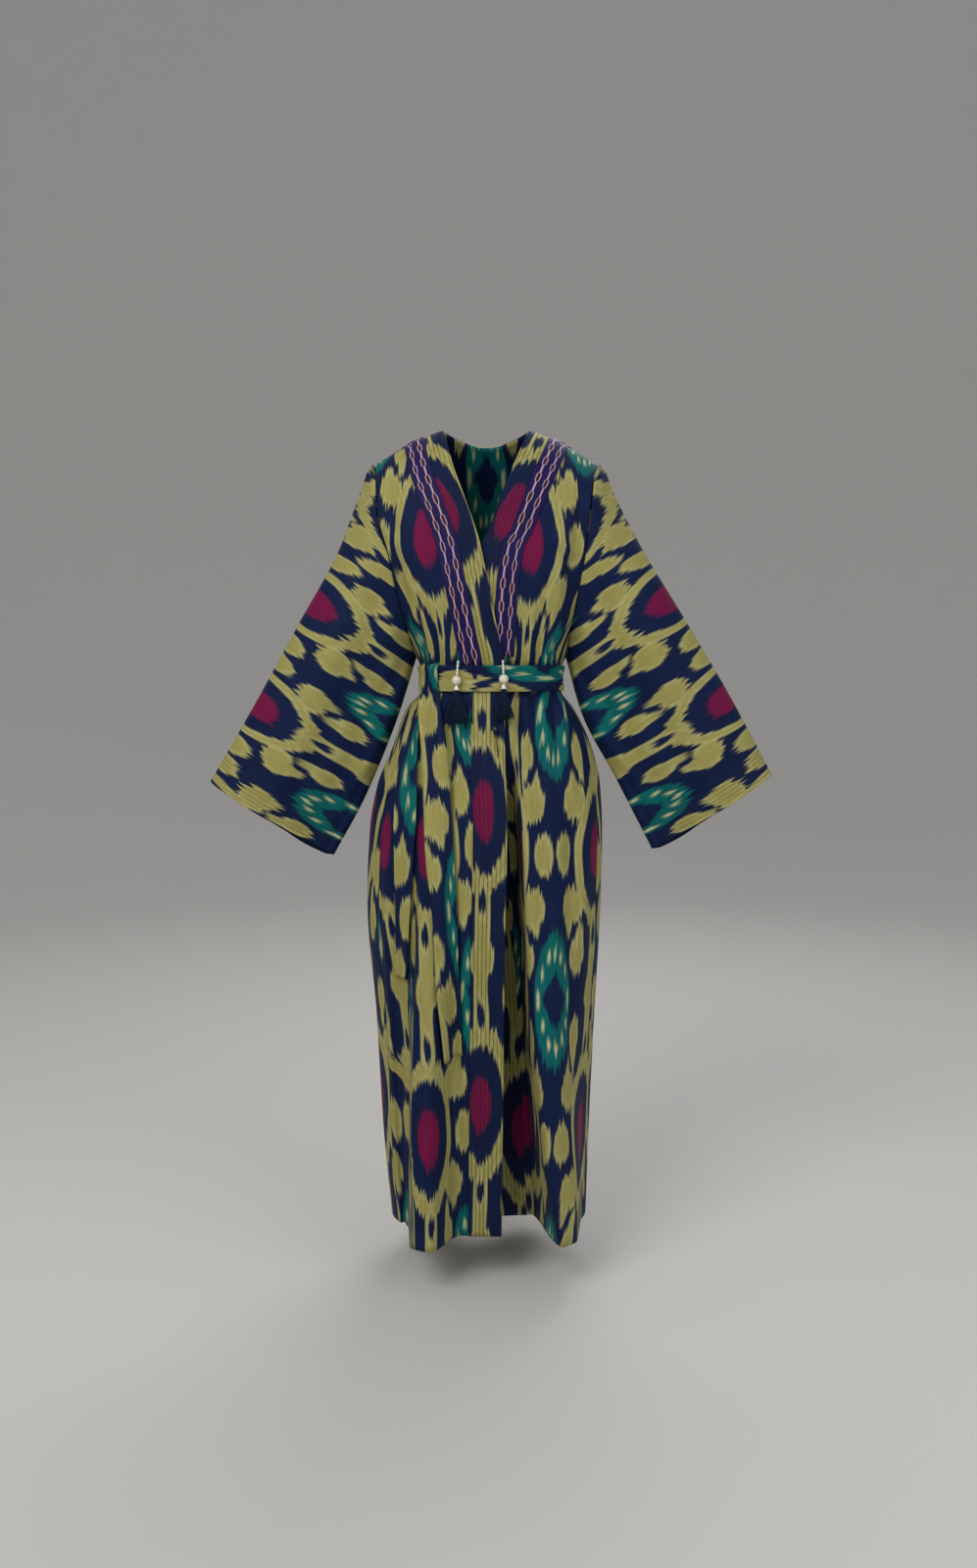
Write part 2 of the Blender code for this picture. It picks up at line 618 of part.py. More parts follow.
# Tassels: x, and the heights of the bead string's top, the big bead's middle and the strands' ends.
Tassel = namedtuple("Tassel", "side x top bead end spread")
TASSELS = (
    Tassel("right", -0.0425, -0.3430, -0.3761, -0.4440, 0.0190),
    Tassel("left", 0.0250, -0.3430, -0.3738, -0.4385, 0.0155),
)
SMALL_BEADS = 4
SMALL_BEAD_RADIUS = 0.0018
BEAD_WAIST = 0.45  # the string is this share of a bead where two beads meet
BIG_BEAD_RADIUS = 0.0075
CAP_LENGTH = 0.0072
HEAD_LENGTH = 0.0050
HEAD_RADIUS = 0.0046
STRAND_RINGS = 3  # rings of strands round the middle one, six more in each
STRAND_PITCH = 0.00125
STRAND_RADIUS = 0.00042
STRAND_SWELL = 1.45  # the strands' thickness at their ends, over that at their roots
STRAND_SHARES = (-0.03, 0.45, 1.0)  # where along a strand its sections are
FRINGE_DEPTH = 0.0050  # half the fringe's thickness at its ends
FRINGE_AIR = 0.0012  # between the fringe and the cloth behind it
STRAND_UNEVEN = 0.0040  # the strands' lengths differ by up to this
SPREAD_POWER = 1.35  # the strands spread more towards their ends
RING_TWIST = 0.2  # each ring of strands is turned a little past the last, in radians
STRAND_CORNERS = tuple(0.5 + k * 2.0 * math.pi / 3.0 for k in range(3))

BUTTON_AT = (0.0127, -0.4524)
BUTTON_RADIUS = 0.0045
LOOP_RADIUS = 0.0007
LOOP_END = (0.0176, -0.4950)
LOOP_POINTS = 10
LOOP_BOW = 0.0012  # the cord hangs this far out of line at its middle


def off_surface(panel, x, z, lift):
    """A point that stands off the panel's outside face by lift, square to it."""
    step = 0.002
    here = float(surface_y(panel, np.array([x]), np.array([z]))[0])
    ahead_x = float(surface_y(panel, np.array([x + step]), np.array([z]))[0])
    ahead_z = float(surface_y(panel, np.array([x]), np.array([z + step]))[0])
    normal = Vector(((ahead_x - here) / step, -1.0, (ahead_z - here) / step)).normalized()
    return Vector((x, here, z)) + normal * lift, normal


def belt_grid():
    """Closed rings of the belt round the waist."""
    angles = np.linspace(0.0, 2.0 * math.pi, DENSE + 1)
    rows = []
    for share, crease in BELT_CREASES:
        z = mix(BELT_TOP, BELT_BOTTOM, share)
        power = 2.0 / form["fullness"](z)
        c, s = np.cos(angles), np.sin(angles)
        x = -np.sign(c) * np.where(c > 0, form["right"](z), form["left"](z)) * np.abs(c) ** power
        y = -np.sign(s) * np.where(s > 0, form["front"](z), form["back"](z)) * np.abs(s) ** power
        ring = np.stack([x, y, np.full_like(x, z)], axis=1)
        run = along(ring)
        points = picked(ring, run, np.linspace(0.0, run[-1], BELT_COLUMNS + 1)[:-1])
        around = np.roll(points, -1, axis=0) - np.roll(points, 1, axis=0)
        out = np.stack([around[:, 1], -around[:, 0], np.zeros(len(points))], axis=1)
        out /= np.linalg.norm(out, axis=1)[:, None]
        out *= np.where(np.sum(out * points, axis=1) < 0, -1.0, 1.0)[:, None]
        rows.append(points + out * (BELT_LIFT + crease))
    return np.array(rows)


def end_grid(name):
    """Rows of a hanging belt end, laid over the right front."""
    size = tracks(BELT_ENDS[name])
    rows = []
    for z_row in END_HEIGHTS[name]:
        row = []
        for across in np.linspace(0.0, 1.0, END_COLUMNS):
            x = float(mix(size["left"](z_row), size["right"](z_row), across))
            slant = END_SLANT[name] * ease((SLANT_FROM[0] - z_row) / SLANT_FROM[1])
            z = z_row - slant * (0.5 - across)
            point, _ = off_surface("front_right", x, float(z), float(size["lift"](z_row)))
            row.append(point)
        rows.append(row)
    return np.array(rows)


# ---------------------------------------------------------------- making objects
def clear_scene():
    for item in list(bpy.data.objects):
        bpy.data.objects.remove(item, do_unlink=True)


def colour_of(name, colour, roughness, metallic=0.0):
    material = bpy.data.materials.new(name)
    material.use_nodes = True
    shader = material.node_tree.nodes["Principled BSDF"]
    shader.inputs["Base Color"].default_value = (*colour, 1.0)
    shader.inputs["Roughness"].default_value = roughness
    shader.inputs["Metallic"].default_value = metallic
    return material


def new_object(name, mesh, collection, look):
    item = bpy.data.objects.new(name, mesh)
    collection.objects.link(item)
    mesh.materials.append(colour_of(name + "_finish", *look))
    return item


def cloth(name, grid, collection, look, wall, outward, closed=False, outside=False):
    """A loft through the grid's rows, with its wall inside the grid, or outside it."""
    bm = bmesh.new()
    rows = [[bm.verts.new(point) for point in row] for row in grid]
    for upper, lower in zip(rows, rows[1:]):
        pairs = list(zip(upper, lower))
        pairs = pairs + pairs[:1] if closed else pairs
        for (a, b), (d, c) in zip(pairs, pairs[1:]):
            bm.faces.new((a, b, c, d))
    bm.normal_update()
    middle = rows[len(rows) // 2][len(rows[0]) // (4 if closed else 2)]
    if middle.normal.dot(Vector(outward)) < 0:
        bmesh.ops.reverse_faces(bm, faces=bm.faces)
    mesh = bpy.data.meshes.new(name)
    bm.to_mesh(mesh)
    bm.free()
    mesh.shade_smooth()
    item = new_object(name, mesh, collection, look)
    solid = item.modifiers.new("wall", "SOLIDIFY")
    solid.thickness = wall
    solid.offset = 1.0 if outside else -1.0
    return item


def turned(name, profile, axis_from, axis_to, collection, look, sides=16):
    """A piece turned on the line between two points. The profile is radius and share of the line."""
    start, end = Vector(axis_from), Vector(axis_to)
    length = (end - start).length
    mesh = bpy.data.meshes.new(name)
    points = [(radius, 0.0, -share * length) for radius, share in profile]
    mesh.from_pydata(points, [(k, k + 1) for k in range(len(points) - 1)], [])
    turn = Vector((0, 0, -1)).rotation_difference(end - start).to_matrix().to_4x4()
    item = new_object(name, mesh, collection, look)
    item.matrix_world = Matrix.Translation(start) @ turn
    screw = item.modifiers.new("turned", "SCREW")
    screw.steps = sides
    screw.render_steps = sides
    screw.use_merge_vertices = True
    screw.merge_threshold = 0.00005
    screw.use_smooth_shade = True
    return item


def ball(name, centre, radius, collection, look, segments=12, rings=8):
    bm = bmesh.new()
    bmesh.ops.create_uvsphere(bm, u_segments=segments, v_segments=rings, radius=radius)
    mesh = bpy.data.meshes.new(name)
    bm.to_mesh(mesh)
    bm.free()
    mesh.shade_smooth()
    item = new_object(name, mesh, collection, look)
    item.location = centre
    return item


def plain_mesh(item):
    """The evaluated mesh of an object, in world space, in place of the object."""
    bpy.context.view_layer.update()
    graph = bpy.context.evaluated_depsgraph_get()
    mesh = bpy.data.meshes.new_from_object(item.evaluated_get(graph))
    mesh.transform(item.matrix_world)
    name, collection = item.name, item.users_collection[0]
    bpy.data.objects.remove(item, do_unlink=True)
    mesh.name = name
    whole = bpy.data.objects.new(name, mesh)
    collection.objects.link(whole)
    return whole


# ---------------------------------------------------------------- looks
NAVY = ((0.010, 0.020, 0.075), 0.85)
OLIVE = ((0.330, 0.300, 0.110), 0.85)
VIOLET = ((0.020, 0.012, 0.110), 0.75)
TEAL_NAVY = ((0.006, 0.022, 0.060), 0.80)
CREAM = ((0.780, 0.730, 0.600), 0.30)
WHITE = ((0.820, 0.820, 0.800), 0.25)
BLACK = ((0.010, 0.010, 0.012), 0.12)


def panel_cloths(name, grid, robe, outward):
    """A panel's part above the belt, and its skirt, which starts a seam's gap below it."""
    waist = len(grid) - len(LEVEL_ROWS) + LEVEL_ROWS.index(WAIST_Z)
    skirt = grid[waist:].copy()
    skirt[0, :, 2] -= AIR
    cloth(name, grid[:waist + 1], robe, NAVY, WALL, outward)
    cloth(name + "_skirt", skirt, robe, NAVY, WALL, outward)


def make_panels(robe):
    """Fronts and back, with the edge band and the neck tape that are sewn on them."""
    grids = {"front_right": front_grid("front_right"), "front_left": front_grid("front_left")}
    tape_rows = ROWS.index(TAPE_END_Z) + 1
    over_band = AIR + THIN_WALL + AIR
    for panel, grid in grids.items():
        side = panel.split("_")[1]
        forward = (0.0, -1.0, 0.0)
        normals = grid_normals(grid, forward)
        panel_cloths(panel, grid, robe, forward)
        band = (grid + normals * AIR)[:, BAND_COLUMNS]
        cloth("band_" + side, band, robe, OLIVE, THIN_WALL, forward, outside=True)
        lift = np.array([over_band, over_band, AIR])[None, :, None]
        tape = grid[:tape_rows, TAPE_COLUMNS] + normals[:tape_rows, TAPE_COLUMNS] * lift
        cloth("tape_" + side, tape, robe, VIOLET, THIN_WALL, forward, outside=True)
    grid = back_grid()
    backward = (0.0, 1.0, 0.0)
    normals = grid_normals(grid, backward)
    panel_cloths("back", grid, robe, backward)
    cloth("band_back", (grid + normals * AIR)[:4], robe, OLIVE, THIN_WALL, backward, outside=True)
    lift = np.array([over_band, over_band, AIR])[:, None, None]
    tape = grid[2:5] + normals[2:5] * lift
    cloth("tape_back", tape, robe, VIOLET, THIN_WALL, backward, outside=True)


def make_sleeves(robe):
    for side in ("right", "left"):
        grid = sleeve_grid(side)
        cloth("sleeve_" + side, grid, robe, NAVY, WALL, (0.0, -1.0, 0.0), closed=True)


def make_belt(robe):
    forward = (0.0, -1.0, 0.0)
    grid = belt_grid()
    cloth("belt", grid, robe, NAVY, BELT_WALL, forward, closed=True, outside=True)
    for name in BELT_ENDS:
        cloth(name, end_grid(name), robe, NAVY, BELT_WALL, forward, outside=True)


def bead_profile(beads, radius, steps):
    """Radius and share of the length for a string of beads that touch on their thread."""
    waist = radius * BEAD_WAIST
    profile = [(0.0, 0.0)]
    for bead in range(beads):
        for k in range(steps + 1):
            swell = math.sin(math.pi * k / steps)
            if k or not bead:
                profile.append((mix(waist, radius, swell), (bead + k / steps) / beads))
    return profile + [(0.0, 1.0)]


CAP_PROFILE = ((0.0, 0.0), (0.0024, 0.0), (0.0027, 0.30), (0.0033, 0.60), (0.0050, 0.92),
               (0.0050, 1.0), (0.0, 1.0))


def make_tassel(tassel, robe):
    """Small beads, the big bead, its flared cap, and the head with its strands."""
    lift = BELT_LIFT + BELT_WALL + AIR + BIG_BEAD_RADIUS
    bead, _ = off_surface("form", tassel.x, tassel.bead, lift)
    layers = 2 if tassel.side == "right" else 1
    face = layers * (AIR + THIN_WALL) + 2.0 * AIR
    top, _ = off_surface("front_right", tassel.x, tassel.top, face + SMALL_BEAD_RADIUS)
    way = (bead - top).normalized()
    last = bead - way * (BIG_BEAD_RADIUS + AIR)
    profile = bead_profile(SMALL_BEADS, SMALL_BEAD_RADIUS, 4)
    turned("bead_string_" + tassel.side, profile, top, last, robe, WHITE, sides=8)
    ball("bead_" + tassel.side, bead, BIG_BEAD_RADIUS, robe, CREAM)
    cap_top = bead - Vector((0.0, 0.0, BIG_BEAD_RADIUS + AIR))
    cap_end = cap_top - Vector((0.0, 0.0, CAP_LENGTH))
    turned("bead_cap_" + tassel.side, CAP_PROFILE, cap_top, cap_end, robe, WHITE, sides=10)

    head_top = cap_end - Vector((0.0, 0.0, AIR))
    head_end = head_top - Vector((0.0, 0.0, HEAD_LENGTH))
    head_profile = ((0.0, 0.0), (HEAD_RADIUS * 0.7, 0.0), (HEAD_RADIUS, 0.3), (HEAD_RADIUS, 1.0), (0.0, 1.0))
    name = "tassel_" + tassel.side
    head = plain_mesh(turned(name, head_profile, head_top, head_end, robe, TEAL_NAVY, sides=12))
    places = [tassel.x + way * tassel.spread for way in (-1.0, -0.5, 0.0, 0.5, 1.0)]
    rest = min(off_surface("front_right", x, tassel.end, face + FRINGE_AIR)[0].y for x in places)
    strands = strand_mesh(name + "_strands", head_end, tassel, rest - FRINGE_DEPTH)
    cutter = bpy.data.objects.new(name + "_strands", strands)
    bpy.data.collections["joined_in"].objects.link(cutter)
    cutter.hide_render = True
    cutter.display_type = "WIRE"
    join = head.modifiers.new("strands", "BOOLEAN")
    join.operation = "UNION"
    join.object = cutter


def strand_mesh(name, head_end, tassel, fringe_y):
    """Three-sided strands from inside the head to the tassel's fringe, none touching another."""
    chance = random.Random(7 if tassel.side == "right" else 11)
    bm = bmesh.new()
    reach = STRAND_RINGS * STRAND_PITCH
    places = [(0.0, 0.0)]
    for ring in range(1, STRAND_RINGS + 1):
        for k in range(6 * ring):
            turn = 2.0 * math.pi * k / (6 * ring) + RING_TWIST * ring
            places.append((ring * STRAND_PITCH * math.cos(turn), ring * STRAND_PITCH * math.sin(turn)))
    length = head_end.z - tassel.end
    for across, depth in places:
        end_x = across / reach * tassel.spread
        end_y = depth / reach * FRINGE_DEPTH + fringe_y - head_end.y
        drop = length - chance.uniform(0.0, STRAND_UNEVEN)
        rings = []
        for share in STRAND_SHARES:
            out = max(share, 0.0) ** SPREAD_POWER
            x = head_end.x + mix(across, end_x, out)
            y = head_end.y + mix(depth, end_y, out)
            z = head_end.z - share * drop
            radius = STRAND_RADIUS * mix(1.0, STRAND_SWELL, max(share, 0.0))
            rings.append([
                bm.verts.new((x + radius * math.cos(a), y + radius * math.sin(a), z))
                for a in STRAND_CORNERS
            ])
        bm.faces.new(rings[0])
        bm.faces.new(rings[-1][::-1])
        for upper, lower in zip(rings, rings[1:]):
            for k in range(3):
                n = (k + 1) % 3
                bm.faces.new((upper[k], lower[k], lower[n], upper[n]))
    mesh = bpy.data.meshes.new(name)
    bm.to_mesh(mesh)
    bm.free()
    return mesh


def make_button(robe):
    """A ball button on the right front's band, and the thin loop cord that hangs from it."""
    on_band = AIR + THIN_WALL + AIR
    centre, _ = off_surface("front_right", BUTTON_AT[0], BUTTON_AT[1], on_band + BUTTON_RADIUS)
    ball("button", centre, BUTTON_RADIUS, robe, BLACK)
    start_z = centre.z - BUTTON_RADIUS - AIR
    spline_points = []
    for k in range(LOOP_POINTS):
        share = k / (LOOP_POINTS - 1)
        x = mix(centre.x, LOOP_END[0], share) + LOOP_BOW * math.sin(math.pi * share)
        z = mix(start_z, LOOP_END[1], share)
        rest, _ = off_surface("front_right", x, z, on_band + LOOP_RADIUS + AIR)
        point = Vector((x, mix(centre.y, rest.y, ease(share * 2.0)), z))
        spline_points.append(point)
    curve = bpy.data.curves.new("button_loop", "CURVE")
    curve.dimensions = "3D"
    curve.bevel_depth = LOOP_RADIUS
    curve.bevel_resolution = 2
    curve.use_fill_caps = True
    spline = curve.splines.new("POLY")
    spline.points.add(len(spline_points) - 1)
    for slot, point in zip(spline.points, spline_points):
        slot.co = (*point, 1.0)
    item = bpy.data.objects.new("button_loop", curve)
    robe.objects.link(item)
    curve.materials.append(colour_of("button_loop_finish", *BLACK))


def main():
    clear_scene()
    robe = bpy.data.collections.new("ikat_robe")
    joined_in = bpy.data.collections.new("joined_in")
    bpy.context.scene.collection.children.link(robe)
    bpy.context.scene.collection.children.link(joined_in)
    make_panels(robe)
    make_sleeves(robe)
    make_belt(robe)
    for tassel in TASSELS:
        make_tassel(tassel, robe)
    make_button(robe)


main()
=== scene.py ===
"""Belted ikat robe (chapan) in its hollow worn form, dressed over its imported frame.

The file follows the robe as it is put together: the cut of its right front first, with the worn form
that all of it shares, then the left front, back, sleeves, bands, braid, belt, tassels, braid tail
and button.
Metres, +Z up, the front faces -Y and +X is the wearer's left. Cloth coordinates are the UV map
"cloth": u runs across the warp and v along it, both in metres.
"""

import functools
import math
import random
from collections import namedtuple

import bmesh
import bpy
import numpy as np
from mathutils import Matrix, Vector


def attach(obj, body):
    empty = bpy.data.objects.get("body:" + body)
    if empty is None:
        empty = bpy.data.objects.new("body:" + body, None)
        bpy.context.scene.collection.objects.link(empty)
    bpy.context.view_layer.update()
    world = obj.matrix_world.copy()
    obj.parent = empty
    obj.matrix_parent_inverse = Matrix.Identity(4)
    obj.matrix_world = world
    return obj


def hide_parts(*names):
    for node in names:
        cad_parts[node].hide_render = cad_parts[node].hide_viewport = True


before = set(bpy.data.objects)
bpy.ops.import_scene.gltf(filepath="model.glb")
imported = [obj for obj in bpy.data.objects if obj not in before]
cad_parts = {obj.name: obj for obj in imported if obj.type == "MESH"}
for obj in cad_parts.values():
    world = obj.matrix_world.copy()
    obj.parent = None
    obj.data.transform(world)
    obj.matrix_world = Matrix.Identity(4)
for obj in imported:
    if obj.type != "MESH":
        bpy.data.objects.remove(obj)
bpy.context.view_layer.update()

# ---------------------------------------------------------------- studio
# A round pale floor that curves up on every side, three large soft lights, and a camera that looks
# level with the belt and slightly down. None of it is part of the robe.
FLOOR_Z = -1.345
ROOM_RADIUS = 6.0
ROOM_TOP = 4.5
ROOM_SIDES = 96
COVE_RADIUS = 2.5
COVE_STEPS = 16
FLOOR_MIDDLE = 0.9  # the radius of the floor's first ring
CAMERA_PLACE = (0.0032, -2.17, -0.3607)
CAMERA_TILT = 4.9  # degrees down
CAMERA_LENS = 30.375


def in_scene(name, data):
    """A new object, linked into the scene."""
    item = bpy.data.objects.new(name, data)
    bpy.context.scene.collection.objects.link(item)
    return item


def light(name, place, target, size, power, colour):
    """A rectangular area light that faces its target."""
    lamp = bpy.data.lights.new(name, "AREA")
    lamp.shape = "RECTANGLE"
    lamp.size, lamp.size_y = size
    lamp.energy = power
    lamp.color = colour
    item = in_scene(name, lamp)
    item.location = place
    way = Vector(target) - Vector(place)
    item.rotation_euler = way.to_track_quat("-Z", "Y").to_euler()


camera = in_scene("camera", bpy.data.cameras.new("camera"))
camera.data.lens = CAMERA_LENS
camera.location = CAMERA_PLACE
camera.rotation_euler = (math.radians(90.0 - CAMERA_TILT), 0.0, 0.0)
bpy.context.scene.camera = camera
bpy.context.scene.view_settings.view_transform = "Standard"

light("key_light", (-1.5, -2.4, 1.5), (0, 0, -0.5), (1.8, 1.8), 60.0, (1.0, 0.97, 0.93))
light("fill_light", (1.9, -2.1, 0.6), (0, 0, -0.7), (2.0, 2.2), 22.0, (0.95, 0.97, 1.0))
light("back_light", (0.6, 1.9, 1.6), (0, 0, -0.5), (1.6, 1.6), 30.0, (1.0, 0.98, 0.96))

world = bpy.data.worlds.new("studio_air")
world.use_nodes = True
world.node_tree.nodes["Background"].inputs["Color"].default_value = (0.82, 0.84, 0.86, 1.0)
world.node_tree.nodes["Background"].inputs["Strength"].default_value = 0.52
bpy.context.scene.world = world


def stage_mesh():
    """A round floor whose edge curves up into a wall on every side, as one turned sheet."""
    profile = [(FLOOR_MIDDLE, FLOOR_Z), (ROOM_RADIUS - COVE_RADIUS, FLOOR_Z)]
    for step in range(1, COVE_STEPS + 1):
        turn = math.radians(90.0 * step / COVE_STEPS)
        radius = ROOM_RADIUS - COVE_RADIUS + COVE_RADIUS * math.sin(turn)
        profile.append((radius, FLOOR_Z + COVE_RADIUS * (1.0 - math.cos(turn))))
    profile.append((ROOM_RADIUS, ROOM_TOP))
    points = [(0.0, 0.0, FLOOR_Z)]
    for radius, z in profile:
        for side in range(ROOM_SIDES):
            turn = 2.0 * math.pi * side / ROOM_SIDES
            points.append((radius * math.cos(turn), radius * math.sin(turn), z))
    faces = []
    for side in range(ROOM_SIDES):
        following = (side + 1) % ROOM_SIDES
        faces.append((0, 1 + side, 1 + following))
        for ring in range(len(profile) - 1):
            low, high = 1 + ring * ROOM_SIDES, 1 + (ring + 1) * ROOM_SIDES
            faces.append((low + side, high + side, high + following, low + following))
    mesh = bpy.data.meshes.new("studio_floor")
    mesh.from_pydata(points, [], faces)
    mesh.shade_smooth()
    return mesh


studio_floor = in_scene("studio_floor", stage_mesh())
floor_paint = bpy.data.materials.new("floor_paint")
floor_paint.use_nodes = True
floor_shader = floor_paint.node_tree.nodes["Principled BSDF"]
floor_shader.inputs["Base Color"].default_value = (0.62, 0.61, 0.595, 1.0)
floor_shader.inputs["Roughness"].default_value = 0.9
studio_floor.data.materials.append(floor_paint)

# ---------------------------------------------------------------- right front
# One length of narrow-loom ikat cotton with a slanting free edge. It hangs from the shoulder seam,
# laps over the left front, is drawn in by the belt and falls in one large fold down the skirt.
CLOTH_WALL = 0.0018
AIR = 0.0003  # between pieces that touch
SEAM_HALF_GAP = 0.0004
SHOULDER_Z = -0.0311
SHOULDER_ROUND = 0.120
CHEST_Z = -0.200
UNDERARM_Z = -0.338
HEM_Z = -1.265
BELT_TOP = -0.3525
BELT_BOTTOM = -0.3935
BELT_LIFT = 0.0030

# The form under the cloth. right and left are half widths, front and back are depths.
Level = namedtuple("Level", "z right left front back fullness")
FORM = (
    Level(0.030, 0.260, 0.260, 0.075, 0.070, 2.3),
    Level(-0.031, 0.250, 0.250, 0.088, 0.086, 2.3),
    Level(-0.100, 0.224, 0.222, 0.108, 0.103, 2.3),
    Level(-0.180, 0.190, 0.188, 0.121, 0.112, 2.3),
    Level(-0.240, 0.162, 0.164, 0.123, 0.110, 2.3),
    Level(-0.300, 0.132, 0.140, 0.116, 0.102, 2.3),
    Level(-0.338, 0.1150, 0.1300, 0.107, 0.094, 2.2),
    Level(-0.352, 0.1080, 0.1225, 0.102, 0.090, 2.2),
    Level(-0.373, 0.1035, 0.1195, 0.098, 0.087, 2.2),
    Level(-0.394, 0.1060, 0.1215, 0.099, 0.088, 2.2),
    Level(-0.421, 0.1300, 0.1420, 0.106, 0.096, 2.2),
    Level(-0.485, 0.1537, 0.172, 0.117, 0.116, 2.3),
    Level(-0.545, 0.1783, 0.186, 0.128, 0.131, 2.3),
    Level(-0.620, 0.1920, 0.190, 0.137, 0.139, 2.3),
    Level(-0.740, 0.1970, 0.188, 0.140, 0.137, 2.3),
    Level(-0.930, 0.1830, 0.179, 0.134, 0.127, 2.3),
    Level(-1.125, 0.1725, 0.171, 0.124, 0.119, 2.3),
    Level(-1.265, 0.1600, 0.167, 0.117, 0.115, 2.3),
)
Ridge = namedtuple("Ridge", "across z")
RIDGE = (
    Ridge(0.0000, 0.0360), Ridge(0.0200, 0.0354), Ridge(0.0450, 0.0310), Ridge(0.0686, 0.0232),
    Ridge(0.1239, 0.0015), Ridge(0.1809, -0.0311), Ridge(0.2600, -0.0850),
)
Edge = namedtuple("Edge", "z right left")
FREE_EDGES = (
    Edge(0.0232, -0.0686, 0.0687), Edge(-0.0400, -0.0526, 0.0430), Edge(-0.0980, -0.0323, 0.0200),
    Edge(-0.1500, -0.0142, 0.0010), Edge(-0.1660, -0.0097, -0.0085), Edge(-0.2256, 0.0024, -0.0185),
    Edge(-0.2935, 0.0161, -0.0225), Edge(-0.3694, 0.0290, -0.0260), Edge(-0.4950, 0.0290, -0.0250),
    Edge(-0.6000, 0.0322, -0.0190), Edge(-0.7900, 0.0286, -0.0090), Edge(-1.2650, 0.0240, 0.0140),
)
Armhole = namedtuple("Armhole", "z right left")
ARMHOLES = (
    Armhole(-0.0311, 0.1809, 0.1810), Armhole(-0.0600, 0.1740, 0.1690),
    Armhole(-0.1180, 0.1705, 0.1620), Armhole(-0.1820, 0.1530, 0.1540),
    Armhole(-0.2340, 0.1420, 0.1450), Armhole(-0.3060, 0.1235, 0.1330),
    Armhole(-0.3380, 0.1150, 0.1300),
)
Seam = namedtuple("Seam", "z right left")  # degrees forward of the side
SIDE_SEAMS = (
    Seam(-0.338, 0.0, 0.0), Seam(-0.420, 16.0, 12.0), Seam(-0.520, 30.0, 21.0),
    Seam(-0.800, 31.0, 22.0), Seam(-1.265, 26.0, 18.0),
)
FoldRow = namedtuple("FoldRow", "z left_foot left_top right_top right_foot height")
FOLDS = {
    "right_tube": ("front_right", (
        FoldRow(-0.560, -0.104, -0.098, -0.086, -0.050, 0.000),
        FoldRow(-0.680, -0.111, -0.102, -0.088, -0.045, 0.016),
        FoldRow(-0.830, -0.116, -0.107, -0.090, -0.043, 0.034),
        FoldRow(-0.935, -0.122, -0.113, -0.092, -0.043, 0.046),
        FoldRow(-1.100, -0.126, -0.117, -0.093, -0.040, 0.063),
        FoldRow(-1.265, -0.129, -0.119, -0.092, -0.040, 0.076),
    )),
    "right_side_hollow": ("front_right", (
        FoldRow(-0.700, -0.162, -0.150, -0.134, -0.122, 0.000),
        FoldRow(-1.000, -0.153, -0.145, -0.136, -0.126, -0.007),
        FoldRow(-1.265, -0.140, -0.137, -0.134, -0.130, -0.008),
    )),
    "left_valley": ("front_left", (
        FoldRow(-0.470, -0.300, -0.200, 0.038, 0.048, 0.000),
        FoldRow(-0.510, -0.300, -0.200, 0.040, 0.050, -0.012),
        FoldRow(-0.573, -0.300, -0.200, 0.042, 0.053, -0.040),
        FoldRow(-0.635, -0.300, -0.200, 0.046, 0.058, -0.062),
        FoldRow(-0.762, -0.300, -0.200, 0.050, 0.063, -0.076),
        FoldRow(-0.924, -0.300, -0.200, 0.056, 0.073, -0.076),
        FoldRow(-1.122, -0.300, -0.200, 0.068, 0.091, -0.074),
        FoldRow(-1.265, -0.300, -0.200, 0.074, 0.103, -0.073),
    )),
    "left_tube": ("front_left", (
        FoldRow(-0.560, 0.050, 0.062, 0.110, 0.150, 0.000),
        FoldRow(-0.762, 0.056, 0.070, 0.118, 0.170, 0.010),
        FoldRow(-0.924, 0.062, 0.080, 0.126, 0.165, 0.026),
        FoldRow(-1.122, 0.078, 0.098, 0.136, 0.161, 0.050),
        FoldRow(-1.265, 0.088, 0.122, 0.142, 0.158, 0.070),
    )),
    "back_right_fold": ("back", (
        FoldRow(-0.480, -0.110, -0.085, -0.075, -0.045, 0.000),
        FoldRow(-0.900, -0.118, -0.092, -0.078, -0.044, 0.016),
        FoldRow(-1.265, -0.126, -0.096, -0.080, -0.042, 0.032),
    )),
    "back_middle_hollow": ("back", (
        FoldRow(-0.460, -0.030, -0.010, 0.004, 0.030, 0.000),
        FoldRow(-0.900, -0.036, -0.012, 0.006, 0.034, -0.012),
        FoldRow(-1.265, -0.040, -0.014, 0.008, 0.038, -0.026),
    )),
    "back_left_fold": ("back", (
        FoldRow(-0.500, 0.040, 0.062, 0.078, 0.108, 0.000),
        FoldRow(-0.900, 0.038, 0.068, 0.084, 0.118, 0.020),
        FoldRow(-1.265, 0.036, 0.072, 0.090, 0.126, 0.030),
    )),
}
UNDER_INSET = 0.0075
UNDER_OUT = (0.045, 0.060)
UNDER_TOP = (-0.085, 0.055)
FRONT_REACH = 125.0
DENSE = 720

